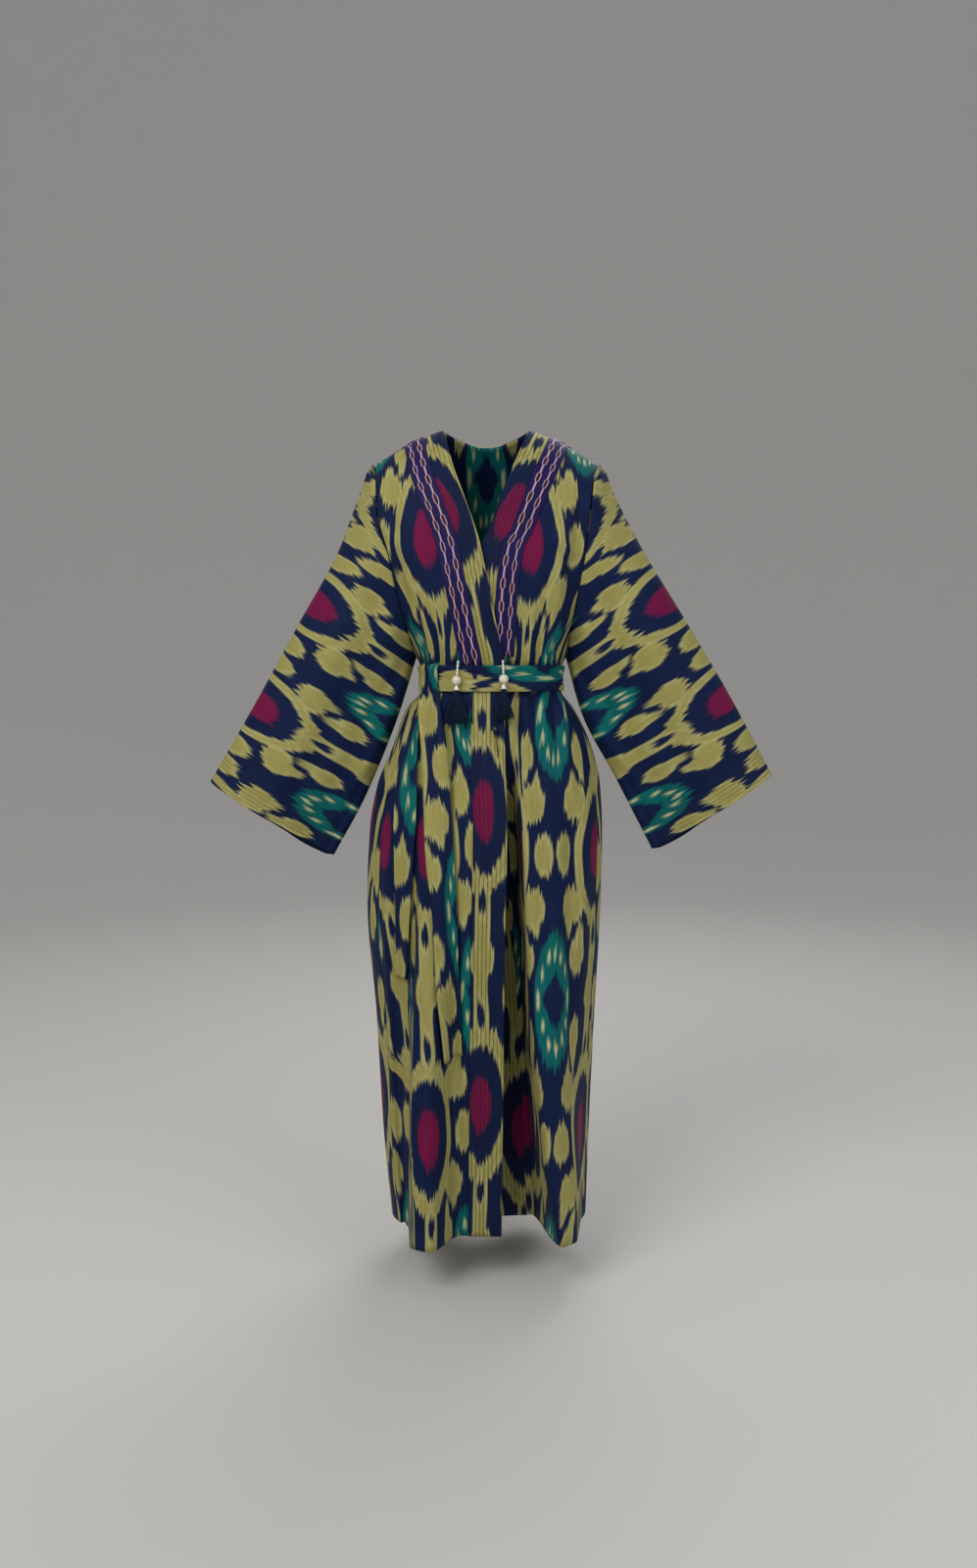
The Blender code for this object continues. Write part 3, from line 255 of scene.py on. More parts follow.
# Soft creases of both fronts: from a place to a place, how far they bow, how wide they are, and how
# far they stand out (ridges) or in (troughs).
Crease = namedtuple("Crease", "x z to_x to_z bow width height")
FRONT_CREASES = (
    # drags from the shoulders and armholes
    Crease(-0.150, -0.060, -0.112, -0.330, 0.010, 0.012, -0.0045),
    Crease(-0.128, -0.110, -0.098, -0.345, 0.006, 0.010, 0.0040),
    Crease(-0.165, -0.135, -0.118, -0.205, -0.004, 0.009, 0.0035),
    Crease(-0.150, -0.215, -0.088, -0.300, -0.006, 0.010, -0.0030),
    Crease(0.152, -0.070, 0.118, -0.250, -0.008, 0.011, -0.0045),
    Crease(0.120, -0.120, 0.112, -0.335, 0.004, 0.011, 0.0045),
    Crease(0.102, -0.150, 0.152, -0.186, 0.006, 0.008, 0.0045),
    Crease(0.108, -0.172, 0.150, -0.205, 0.005, 0.008, -0.0040),
    Crease(0.096, -0.215, 0.090, -0.345, 0.003, 0.009, -0.0035),
    Crease(0.138, -0.240, 0.105, -0.340, 0.004, 0.008, 0.0030),
    # gathers above the belt
    Crease(-0.101, -0.356, -0.106, -0.270, 0.002, 0.0050, -0.0040),
    Crease(-0.088, -0.356, -0.092, -0.292, 0.001, 0.0045, 0.0032),
    Crease(-0.076, -0.356, -0.078, -0.262, -0.002, 0.0050, -0.0036),
    Crease(-0.062, -0.356, -0.064, -0.305, 0.001, 0.0045, 0.0024),
    Crease(0.054, -0.356, 0.056, -0.290, 0.001, 0.0050, -0.0030),
    Crease(0.066, -0.356, 0.070, -0.250, 0.003, 0.0055, 0.0036),
    Crease(0.079, -0.356, 0.083, -0.296, -0.001, 0.0045, -0.0036),
    Crease(0.092, -0.356, 0.099, -0.268, 0.002, 0.0050, 0.0036),
    Crease(0.104, -0.356, 0.112, -0.305, 0.001, 0.0045, -0.0034),
    # gathers below the belt
    Crease(-0.101, -0.390, -0.131, -0.560, 0.006, 0.0060, -0.0050),
    Crease(-0.092, -0.390, -0.114, -0.640, 0.005, 0.0060, 0.0050),
    Crease(-0.082, -0.390, -0.098, -0.520, 0.002, 0.0050, -0.0044),
    Crease(-0.070, -0.390, -0.076, -0.600, -0.003, 0.0060, 0.0040),
    Crease(-0.057, -0.390, -0.060, -0.700, -0.002, 0.0065, -0.0052),
    Crease(-0.044, -0.390, -0.045, -0.500, 0.001, 0.0050, 0.0030),
    Crease(-0.032, -0.390, -0.036, -0.620, 0.002, 0.0055, -0.0034),
    Crease(0.038, -0.390, 0.044, -0.520, 0.002, 0.0050, 0.0036),
    Crease(0.050, -0.390, 0.056, -0.490, 0.001, 0.0045, -0.0036),
    Crease(0.062, -0.390, 0.071, -0.620, 0.003, 0.0060, 0.0046),
    Crease(0.076, -0.390, 0.090, -0.560, 0.002, 0.0055, -0.0046),
    Crease(0.090, -0.390, 0.110, -0.650, 0.004, 0.0065, 0.0046),
    Crease(0.103, -0.390, 0.132, -0.540, 0.004, 0.0055, -0.0050),
    Crease(0.112, -0.390, 0.150, -0.600, 0.006, 0.0060, 0.0046),
    # long soft folds of the skirt
    Crease(-0.148, -0.520, -0.157, -1.160, 0.004, 0.0120, 0.0050),
    Crease(-0.131, -0.600, -0.140, -1.020, 0.003, 0.0100, -0.0050),
    Crease(-0.060, -0.560, -0.052, -1.265, -0.004, 0.0100, -0.0050),
    Crease(-0.034, -0.640, -0.026, -1.180, 0.003, 0.0120, 0.0032),
    Crease(0.084, -0.560, 0.092, -1.080, -0.004, 0.0120, -0.0042),
    Crease(0.104, -0.700, 0.112, -1.265, 0.004, 0.0130, 0.0044),
    Crease(0.134, -0.560, 0.142, -1.240, 0.003, 0.0110, -0.0052),
    Crease(0.154, -0.520, 0.157, -1.000, 0.003, 0.0110, 0.0040),
)
SEAM_FADE = 0.020  # creases die away this near a seam
CREASE_OPENS_BY = 0.10  # shares of a crease's length over which it opens, and dies away
CREASE_FADES_OVER = 0.45
FRONT_ROWS = 150
ROWS_CROWD = 0.12  # how much a front's rows crowd towards the shoulder, and how soon
CROWD_POWER = 2.2
FRONT_SHELL_COLUMNS = 104

# The ikat's repeat, from one crimson axis to the next across the warp and along it.
REPEAT_ACROSS = 0.187
REPEAT_ALONG = 0.455
BELT_TAKES_UP = (BELT_TOP + BELT_BOTTOM) / 2.0  # the pattern slips a little at this height
Axis = namedtuple("Axis", "z x gather")  # where a crimson axis runs, and how tightly it is gathered
RIGHT_AXIS = (
    Axis(0.020, -0.0950, 1.0), Axis(-0.158, -0.0938, 1.0), Axis(-0.275, -0.0760, 1.5),
    Axis(-0.338, -0.0690, 2.3), Axis(-0.373, -0.0720, 2.1), Axis(-0.454, -0.0880, 1.6),
    Axis(-0.520, -0.0930, 1.2), Axis(-0.640, -0.0950, 1.0), Axis(-1.072, -0.0885, 1.0),
    Axis(-1.265, -0.0855, 1.0),
)
RIGHT_CRIMSON_ROWS = (-0.632, -0.158)  # heights of a skirt row and of the chest row
# Under the belt a deep fold takes up part of the cloth. Rows of heights with the place of the fold's
# edge, and the place and gathers of the pattern's next axis on its far side.
Fold = namedtuple("Fold", "z edge axis gather")
RIGHT_FOLD = (
    Fold(-0.375, -0.100, -0.104, 2.2), Fold(-0.450, -0.116, -0.126, 1.8),
    Fold(-0.520, -0.121, -0.142, 1.4), Fold(-0.660, -0.122, -0.161, 1.2),
    Fold(-0.780, -0.122, -0.146, 1.1), Fold(-0.960, -0.121, -0.125, 1.0),
    Fold(-1.070, -0.119, -0.111, 1.0), Fold(-1.265, -0.116, -0.102, 1.0),
)
FOLD_TAKES_UP = 0.009  # the width over which the folded-in cloth passes


class Track:
    """A size that changes smoothly with height and never overshoots the rows that it goes through."""

    def __init__(self, heights, sizes):
        order = np.argsort(heights)
        self.heights = np.array(heights, float)[order]
        self.sizes = np.array(sizes, float)[order]
        step = np.diff(self.heights)
        slope = np.diff(self.sizes) / step
        lean = np.zeros(len(self.sizes))
        lean[0], lean[-1] = slope[0], slope[-1]
        same_way = slope[:-1] * slope[1:] > 0
        total = np.where(same_way, slope[:-1] + slope[1:], 1.0)
        lean[1:-1] = np.where(same_way, 2.0 * slope[:-1] * slope[1:] / total, 0.0)
        self.step, self.lean = step, lean

    def __call__(self, at):
        at = np.clip(at, self.heights[0], self.heights[-1])
        i = np.clip(np.searchsorted(self.heights, at) - 1, 0, len(self.step) - 1)
        h = self.step[i]
        t = (at - self.heights[i]) / h
        rise = self.sizes[i + 1] - self.sizes[i]
        first, last = self.lean[i] * h, self.lean[i + 1] * h
        curve = (3 * rise - 2 * first - last) + t * (first + last - 2 * rise)
        return self.sizes[i] + t * (first + t * curve)


def tracks(table, key="z"):
    """One track for each column of a table, by the column's name."""
    heights = [getattr(row, key) for row in table]
    names = [name for name in table[0]._fields if name != key]
    return {name: Track(heights, [getattr(row, name) for row in table]) for name in names}


form = tracks(FORM)
ridge = tracks(RIDGE, "across")["z"]
free_edge = tracks(FREE_EDGES)
armhole = tracks(ARMHOLES)
side_seam = tracks(SIDE_SEAMS)
fold_tracks = {name: (panel, tracks(rows)) for name, (panel, rows) in FOLDS.items()}


def ease(t):
    """0 to 1 with level ends."""
    t = np.clip(t, 0.0, 1.0)
    return t * t * (3.0 - 2.0 * t)


def mix(a, b, t):
    return a + (b - a) * t


def along(points):
    """Distance run along a row of points."""
    steps = np.linalg.norm(np.diff(points, axis=0), axis=1)
    return np.concatenate([[0.0], np.cumsum(steps)])


def picked(points, run, marks):
    """The row's points at the given distances along it, or its point at one distance."""
    return np.stack([np.interp(marks, run, points[:, k]) for k in range(3)], axis=-1)


def fold_height(panel, x, z):
    """How far the panel's large folds stand out of the form."""
    total = np.zeros_like(x)
    for owner, size in fold_tracks.values():
        if owner != panel:
            continue
        z_top = size["height"].heights[-1]
        left = ease((x - size["left_foot"](z)) / (size["left_top"](z) - size["left_foot"](z)))
        right = ease((size["right_foot"](z) - x) / (size["right_foot"](z) - size["right_top"](z)))
        total = total + np.where(z < z_top, size["height"](z) * left * right, 0.0)
    return total


def under_inset(panel, x, z):
    """The left front passes under the right one, and comes out level with it at its side."""
    if panel != "front_left":
        return 0.0
    start, width = UNDER_OUT
    top, drop = UNDER_TOP
    return UNDER_INSET * (1.0 - ease((x - start) / width)) * ease((top - z) / drop)


def surface_y(panel, x, z):
    """The outside face of a panel over the point x, z, before its soft creases.

    A name that is no panel's gives the form's front without folds."""
    half = np.where(x < 0, form["right"](z), form["left"](z))
    power = form["fullness"](z)
    share = np.clip(1.0 - (np.abs(x) / half) ** power, 0.0, 1.0) ** (1.0 / power)
    drop = np.clip((ridge(np.abs(x)) - z) / SHOULDER_ROUND, 0.0, 1.0)
    rounded = np.sqrt(1.0 - (1.0 - drop) ** 2)
    if panel == "back":
        return rounded * form["back"](z) * share + fold_height(panel, x, z)
    depth = rounded * form["front"](z) * share + fold_height(panel, x, z)
    return -(depth - under_inset(panel, x, z))


def shoulder_lift(x, row_z):
    """Rows follow the shoulder's slope at the top and are level from the chest down."""
    share = 1.0 - ease((SHOULDER_Z - row_z) / (SHOULDER_Z - CHEST_Z))
    return (ridge(np.abs(x)) - SHOULDER_Z) * share


def row_points(panel, row_z, angles):
    """Points of a row at the given angles round the form: 0 is the wearer's right, 90 the front."""
    c = np.cos(angles)
    half = np.where(c > 0, form["right"](row_z), form["left"](row_z))
    x = -np.sign(c) * half * np.abs(c) ** (2.0 / form["fullness"](row_z))
    z = row_z + shoulder_lift(x, row_z)
    y = surface_y(panel, x, z)
    if row_z < UNDERARM_Z:
        turned = np.sin(angles) * (-1.0 if panel == "back" else 1.0) < 0
        other = surface_y("wrapped", x, z) if panel == "back" else surface_y("back", x, z)
        y = np.where(turned, other, y)
    return np.stack([x, y, z], axis=1)


def outer_angle(side, row_z):
    """Angle in from the side at which a front stops: on the armhole, or on the side seam."""
    if row_z <= UNDERARM_Z:
        return math.radians(float(side_seam[side](row_z)))
    reach = float(armhole[side](row_z) / form[side](row_z))
    return math.acos(min(1.0, reach) ** (float(form["fullness"](row_z)) / 2.0))


def front_dense(panel, row_z):
    """A front's row from its free edge out to its armhole or side seam, finely divided."""
    side = panel.split("_")[1]
    angles = np.linspace(outer_angle(side, row_z), math.radians(FRONT_REACH), DENSE)
    if side == "left":
        angles = math.pi - angles
    row = row_points(panel, row_z, angles)[::-1]
    past = row[:, 0] - free_edge[side](row[:, 2])
    inside = past < 0 if side == "right" else past > 0
    start = int(np.argmax(inside))
    share = past[start - 1] / (past[start - 1] - past[start])
    row = np.vstack([mix(row[start - 1], row[start], share), row[start:]])
    run = along(row)
    end = picked(row, run, [run[-1] - SEAM_HALF_GAP])
    return np.vstack([row[run < run[-1] - SEAM_HALF_GAP], end])


def front_heights():
    """Row heights of a front, closer together over the shoulder's turn."""
    share = np.linspace(0.0, 1.0, FRONT_ROWS)
    return mix(SHOULDER_Z, HEM_Z, ROWS_CROWD * share ** CROWD_POWER + (1.0 - ROWS_CROWD) * share)


front_cut = {}  # each front's dense rows, by panel
for panel in ("front_right", "front_left"):
    front_cut[panel] = [front_dense(panel, row_z) for row_z in front_heights()]
    front_cut[panel][0][:, 1] -= SEAM_HALF_GAP


def crease_height(creases, x, z):
    """How far a panel's soft creases stand out at a place."""
    total = np.zeros_like(x)
    for crease in creases:
        step_x, step_z = crease.to_x - crease.x, crease.to_z - crease.z
        length = math.hypot(step_x, step_z)
        part = ((x - crease.x) * step_x + (z - crease.z) * step_z) / length ** 2
        off = ((x - crease.x) * step_z - (z - crease.z) * step_x) / length
        off = off - crease.bow * 4.0 * part * (1.0 - part)
        taper = ease(part / CREASE_OPENS_BY) * ease((1.0 - part) / CREASE_FADES_OVER)
        total = total + crease.height * np.exp(-((off / crease.width) ** 2)) * taper
    return total


def unit_normals(grid):
    """Unit normals of a grid of points, all on one face of it."""
    normal = np.cross(np.gradient(grid, axis=0), np.gradient(grid, axis=1))
    return normal / np.maximum(np.linalg.norm(normal, axis=2), 1e-9)[..., None]


def grid_normals(grid, outward):
    """Unit normals of a grid of points, turned the way of outward at its middle."""
    normal = unit_normals(grid)
    middle = normal[len(grid) // 2, grid.shape[1] // 2]
    return normal if np.dot(middle, outward) > 0 else -normal


def distances(panel, marks):
    """A front's points at distances from its free edge, row by row, and those distances."""
    rows = [picked(dense, along(dense), marks) for dense in front_cut[panel]]
    return np.array(rows), np.repeat([marks], len(rows), axis=0)


def shares(panel, columns):
    """A front's points at even shares of each row, and their distances from the free edge."""
    runs = [along(dense) for dense in front_cut[panel]]
    marks = np.array([np.linspace(0.0, run[-1], columns) for run in runs])
    rows = [picked(dense, run, mark) for dense, run, mark in zip(front_cut[panel], runs, marks)]
    return np.array(rows), marks


def worn(grid, outward, creases, lift=0.0, seams=()):
    """A grid moved out over its panel's creases and by lift. seams are the columns that stay sewn."""
    normals = grid_normals(grid, outward)
    height = crease_height(creases, grid[..., 0], grid[..., 2])
    for column in seams:
        away = np.linalg.norm(grid - grid[:, column:column + 1 or None], axis=2)
        height = height * ease(away / SEAM_FADE)
    return grid + normals * (height + lift)[..., None]


def crimson_offset(grid, marks, axes, folds, start, sign):
    """Distance across the warp from the panel's crimson axis, with gathers and folds let out."""
    size, far = tracks(axes), tracks(folds)
    across = []
    for row, mark in zip(grid, marks):
        z = float(np.median(row[:, 2]))
        x, level = row[:, 0] * sign, max(z, HEM_Z)
        near = (mark - np.interp(float(size["x"](z)) * sign, x, mark)) * float(size["gather"](z))
        if z < BELT_TAKES_UP:
            edge, axis = (np.interp(float(far[name](level)) * sign, x, mark) for name in ("edge", "axis"))
            beyond = start + (mark - axis) * float(far["gather"](level))
            near = mix(near, beyond, ease((mark - edge) / FOLD_TAKES_UP + 0.5))
        across.append(near)
    return np.array(across)


def warp_run(grid, skirt_z, chest_z):
    """Distance up the warp from a crimson row of the skirt. The chest's crimson row is a repeat away."""
    steps = np.linalg.norm(np.diff(grid, axis=0), axis=2)
    heights = np.median(grid[..., 2], axis=1)
    level = heights[1:] < CHEST_Z
    steps[level] = np.median(steps[level], axis=1)[:, None]
    run = -np.vstack([np.zeros(grid.shape[1]), np.cumsum(steps, axis=0)])
    chest_row = int(np.argmax(heights < CHEST_Z))
    run = run - run[chest_row] + np.median(run[chest_row])
    middle = np.median(run, axis=1)
    skirt, chest = (float(np.interp(-z, -heights, middle)) for z in (skirt_z, chest_z))
    slip = (chest - skirt) - REPEAT_ALONG * round((chest - skirt) / REPEAT_ALONG)
    return run - skirt - np.where(heights > BELT_TAKES_UP, slip, 0.0)[:, None]


def cloth_object(name, grid, across, warp, outward, wall=CLOTH_WALL, closed=False, outside=False, sewn=None):
    """A shell through a grid of points, with its cloth coordinates and its wall.

    sewn holds the distances from which its rows of topstitching are counted."""
    rows, columns = grid.shape[:2]
    kept = columns - 1 if closed else columns
    points = grid[:, :kept].reshape(-1, 3)
    faces, coordinates = [], []
    for i in range(rows - 1):
        for j in range(columns - 1):
            corners = ((i, j), (i, j + 1), (i + 1, j + 1), (i + 1, j))
            faces.append([a * kept + b % kept for a, b in corners])
            coordinates += [(across[a, b], warp[a, b]) for a, b in corners]
    middle = faces[(rows // 2) * (columns - 1) + columns // (4 if closed else 2)]
    a, b, c = (points[index] for index in middle[:3])
    if np.dot(np.cross(b - a, c - a), outward) < 0:
        faces = [face[::-1] for face in faces]
        coordinates = [pair for k in range(0, len(coordinates), 4) for pair in coordinates[k:k + 4][::-1]]
    mesh = bpy.data.meshes.new(name)
    mesh.from_pydata(points.tolist(), [], faces)
    layer = mesh.uv_layers.new(name="cloth")
    layer.data.foreach_set("uv", np.array(coordinates, float).ravel())
    if sewn is not None:
        order = np.array([index // kept * columns + index % kept for face in faces for index in face])
        counted = np.stack([sewn.ravel()[order], np.zeros(len(order))], axis=1)
        mesh.uv_layers.new(name="rows").data.foreach_set("uv", counted.ravel())
    mesh.shade_smooth()
    item = in_scene(name, mesh)
    solid = item.modifiers.new("wall", "SOLIDIFY")
    solid.thickness = wall
    solid.offset = 1.0 if outside else -1.0
    solid.use_quality_normals = True
    return item


class Wire:
    """One output of a shader node. Sums on it add Math nodes to its tree."""

    def __init__(self, tree, socket=None):
        self.tree, self.socket = tree, socket

    def node(self, kind, settings=None, sockets=None, out=0):
        """Any other node: its settings come first, then the values or links of its sockets."""
        made = self.tree.nodes.new("ShaderNode" + kind)
        for name, value in (settings or {}).items():
            if name == "stops":
                while len(made.color_ramp.elements) < len(value):
                    made.color_ramp.elements.new(0.5)
                for element, (place, colour) in zip(made.color_ramp.elements, value):
                    element.position, element.color = place, colour
            else:
                setattr(made, name, value)
        for name, value in (sockets or {}).items():
            if isinstance(value, Wire):
                self.tree.links.new(value.socket, made.inputs[name])
            else:
                made.inputs[name].default_value = value
        return Wire(self.tree, made.outputs[out])

    def sum(self, operation, *values, clamp=False):
        settings = {"operation": operation, "use_clamp": clamp}
        return self.node("Math", settings, dict(enumerate(values)))

    def __add__(self, other):
        return self.sum("ADD", self, other)

    def __sub__(self, other):
        return self.sum("SUBTRACT", self, other)

    def __rsub__(self, other):
        return self.sum("SUBTRACT", other, self)

    def __mul__(self, other):
        return self.sum("MULTIPLY", self, other)

    def __truediv__(self, other):
        return self.sum("DIVIDE", self, other)

    __radd__, __rmul__ = __add__, __mul__

    def or_(self, other):
        return self.sum("MAXIMUM", self, other)

    def and_(self, other):
        return self.sum("MINIMUM", self, other)

    def clamped(self):
        return self.sum("ADD", self, 0.0, clamp=True)

    def noise(self, vector, detail=2.0, rough=0.5):
        sockets = {"Vector": vector, "Scale": 1.0, "Detail": detail, "Roughness": rough}
        return self.node("TexNoise", {"noise_dimensions": "2D"}, sockets)

    def place(self, x, y):
        return self.node("CombineXYZ", None, {0: x, 1: y})

    def blend(self, share, under, over):
        sockets = {0: share, 6: under, 7: over}
        return self.node("Mix", {"data_type": "RGBA"}, sockets, out=2)


NAVY = (0.0026, 0.0085, 0.0400, 1.0)
NAVY_LIT = (0.0055, 0.0160, 0.0680, 1.0)
OLIVE = (0.400, 0.372, 0.122, 1.0)
OLIVE_DARK = (0.262, 0.228, 0.066, 1.0)
CREAM_EDGE = (0.640, 0.640, 0.330, 1.0)
CRIMSON = (0.205, 0.007, 0.058, 1.0)
CRIMSON_DARK = (0.095, 0.004, 0.045, 1.0)
TEAL = (0.001, 0.165, 0.140, 1.0)
TEAL_DARK = (0.001, 0.075, 0.098, 1.0)
# painted shadow of the topstitch grooves: the dark colour laid along each stitched row, how strongly it
# darkens the cloth, and each row's width
TOPSTITCH_PAINTED_SHADOW = (0.012, 0.011, 0.008, 1.0)
ROW_PAINTED_SHADOW_STRENGTH = 0.55
ROW_GROOVE_WIDTH = 0.0011
RIM_ACROSS = 5.2  # from a crimson axis to the olive rim's outer edge, in centimetres
RIM_ALONG = 2.3  # how far the rim runs on past the navy core along the warp, in centimetres
RIM_FULLNESS = 2.3  # 2 is a plain oval

# The other shapes of the ikat's figure, in centimetres across the warp and along it from a crimson
# axis and crimson row: the middle of each oval and its half sizes.
HALF_ACROSS, HALF_ALONG = REPEAT_ACROSS * 50.0, REPEAT_ALONG * 50.0
Oval = namedtuple("Oval", "x y across along")
CROWN = (Oval(5.8, 8.2, 1.95, 3.0), Oval(6.2, 10.6, 0.7, 2.3))
LEAF = (Oval(4.5, 16.3, 1.2, 2.9), Oval(4.2, 13.6, 0.62, 2.7))
JOINT = Oval(0.0, 9.9, 2.7, 2.7)
BULGE = Oval(0.0, HALF_ALONG, 1.95, 3.4)
DROP = Oval(7.6, 0.0, 1.5, 3.4)
SPOT = Oval(0.0, 13.8, 0.62, 1.9)
DIAMOND = Oval(HALF_ACROSS, HALF_ALONG, 2.3, 4.5)
STEM_HALF, STEM_FROM = 1.15, 9.0
RING_ACROSS = 3.45
TICK_HALF = (0.26, 0.85)
TICKS = ((0.0, 7.4), (1.05, 6.7), (2.05, 4.3), (2.85, 0.6))  # back from the ring's middle


def blank_material(name):
    """A new material with its shader, and a wire on its tree."""
    material = bpy.data.materials.new(name)
    material.use_nodes = True
    return material, material.node_tree.nodes["Principled BSDF"], Wire(material.node_tree)


def wired(wire, shader, colour, rough, relief, **settings):
    """The shader takes its colour, roughness and relief from nodes, and the rest as plain values."""
    for name, source in (("Base Color", colour), ("Roughness", rough), ("Normal", relief)):
        wire.tree.links.new(source.socket, shader.inputs[name])
    for name, value in settings.items():
        shader.inputs[name.replace("_", " ")].default_value = value


def ikat(name, roughness=0.62, bump=0.35, core=(4.1, 9.4), heart=(1.90, 4.6), ring_reach=10.6, rows=None):
    """Cotton warp ikat. Distances inside are in centimetres from a crimson axis and crimson row.

    core and heart are the half sizes of the navy oval and its crimson middle. rows holds the first
    row of topstitching, the distance between rows and how many there are."""
    material, shader, wire = blank_material(name)
    cloth = wire.node("UVMap", {"uv_map": "cloth"})
    split = cloth.node("SeparateXYZ", None, {0: cloth})
    u = split * 100.0
    v = Wire(wire.tree, split.socket.node.outputs[1]) * 100.0

    # the dyed threads slip along the warp, bundle by bundle
    bundles = wire.noise(wire.place(u * 2.6, v * 0.05), detail=1.0)
    threads = wire.noise(wire.place(u * 8.0, v * 0.10), detail=2.0, rough=0.7)
    lean = wire.noise(wire.place(u * 0.25, v * 0.09), detail=1.0)
    slip = (bundles - 0.5) * 2.9 + (threads - 0.5) * 2.7
    across = u + (lean - 0.5) * 0.9 + (threads - 0.5) * 0.16
    warp = v + slip + (lean - 0.5) * 1.0

    x = wire.sum("PINGPONG", across, HALF_ACROSS)
    y = wire.sum("PINGPONG", warp, HALF_ALONG)

    def oval(cx, cy, a, b, power=2.0):
        """About the distance inside an oval."""
        dx, dy = wire.sum("ABSOLUTE", x - cx) / a, wire.sum("ABSOLUTE", y - cy) / b
        if power == 1.0:
            return (1.0 - (dx + dy)) * a
        total = wire.sum("POWER", dx, power) + wire.sum("POWER", dy, power)
        return (1.0 - wire.sum("POWER", total, 1.0 / power)) * a

    def inside(distance, soft=0.22):
        return (distance / soft + 0.5).clamped()

    ground = oval(0.0, 0.0, RIM_ACROSS, core[1] + RIM_ALONG, RIM_FULLNESS)
    crown = oval(*CROWN[0]).or_(oval(*CROWN[1]))
    leaf = oval(*LEAF[0]).or_(oval(*LEAF[1]))
    stem = (STEM_HALF - x).and_(y - STEM_FROM)
    navy = oval(0.0, 0.0, *core).or_(oval(*SPOT))
    olive = ground.or_(crown).or_(leaf).or_(oval(*JOINT)).or_(stem).or_(oval(*BULGE))
    olive = olive.and_(0.0 - navy).or_(oval(*DROP))
    ring = oval(HALF_ACROSS, HALF_ALONG, RING_ACROSS, ring_reach).and_(0.0 - oval(*DIAMOND, 1.0))
    ticks = [oval(HALF_ACROSS - side, HALF_ALONG - by, *TICK_HALF) for side, by in TICKS]
    ticks = functools.reduce(Wire.or_, ticks)
    crimson = oval(0.0, 0.0, *heart)

    # colour: the dye's own shade, streaks of thread, and pale ends where the resist let go
    streak = wire.noise(wire.place(u * 14.0, v * 0.10), detail=2.0, rough=0.75)
    cloud = wire.noise(wire.place(u * 0.35, v * 0.16), detail=2.0)
    slub = wire.noise(wire.place(u * 5.0, v * 0.45), detail=2.0, rough=0.6)
    lines = ((streak - 0.5) * 2.6 + 0.5).clamped()
    ground_dye = wire.blend((cloud * 0.9 + lines * 0.5 - 0.25).clamped(), NAVY, NAVY_LIT)
    olive_dye = wire.blend((lines * 0.75 + slub * 0.6 - 0.15).clamped(), OLIVE_DARK, OLIVE)
    teal_dye = wire.blend((lines * 0.5 + cloud * 0.7 - 0.05).clamped(), TEAL_DARK, TEAL)
    red_dye = wire.blend((lines * 0.45 + cloud * 0.8).clamped(), CRIMSON_DARK, CRIMSON)
    in_olive = inside(olive, 0.26)
    edge = in_olive * (1.0 - inside(olive - 0.28, 0.5)) * (lines * 0.8 + 0.1)
    olive_dye = wire.blend(edge * 0.7, olive_dye, CREAM_EDGE)
    colour = wire.blend(inside(ring, 0.3), ground_dye, teal_dye)
    colour = wire.blend(inside(ticks, 0.3) * 0.8, colour, CREAM_EDGE)
    colour = wire.blend(in_olive, colour, olive_dye)
    colour = wire.blend(inside(crimson, 0.3), colour, red_dye)

    weft = wire.sum("SINE", v * 52.0)
    height = lines * 0.5 + slub * 0.8 + weft * 0.12
    # painted shadow: the cloth's colour is darkened along each stitched row, where the groove's shade would
    # fall, and the same mask sinks the bump
    if rows:
        first, pitch, count = rows
        counted = wire.node("UVMap", {"uv_map": "rows"})
        reach = counted.node("SeparateXYZ", None, {0: counted})
        at = wire.sum("FLOORED_MODULO", reach - (first - pitch / 2.0), pitch)
        sunk = (1.0 - wire.sum("ABSOLUTE", at - pitch / 2.0) / ROW_GROOVE_WIDTH).clamped()
        sunk = sunk.and_(((first + (count - 0.5) * pitch - reach) / 0.0005).clamped())
        sunk = sunk.and_(((reach - first + pitch / 2.0) / 0.0005).clamped())
        colour = wire.blend(sunk * ROW_PAINTED_SHADOW_STRENGTH, colour, TOPSTITCH_PAINTED_SHADOW)
        height = height - sunk * 0.8
    relief = wire.node("Bump", None, {"Strength": bump, "Distance": 0.0006, "Height": height})
    rough = slub * 0.16 + (roughness - 0.08)
    wired(wire, shader, colour, rough, relief,
          Sheen_Weight=0.02, Sheen_Roughness=0.45, Specular_IOR_Level=0.10)
    return material


def finished(item, slot, finish, *nodes):
    """A piece's finish, its body and the node that it stands for."""
    item.data.materials.append(finish)
    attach(item, "root")
    if nodes:
        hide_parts(*nodes)


FORWARD = (0.0, -1.0, 0.0)
robe_ikat = ikat("navy_olive_ikat")


def front_panel(panel, columns, axes, folds, start, crimson_rows):
    """A front's shell: its worn grid, its cloth coordinates and the size it was cut to."""
    sign = -1.0 if panel == "front_right" else 1.0
    grid, marks = shares(panel, columns)
    across = crimson_offset(grid, marks, axes, folds, start, sign)
    warp = warp_run(grid, *crimson_rows)
    shape = worn(grid, FORWARD, FRONT_CREASES, seams=(-1,))
    item = cloth_object(panel + "_cloth", shape, across, warp, FORWARD)
    finished(item, "ikat_cotton", robe_ikat, panel, panel + "_skirt")


front_panel("front_right", FRONT_SHELL_COLUMNS, RIGHT_AXIS, RIGHT_FOLD, REPEAT_ACROSS, RIGHT_CRIMSON_ROWS)

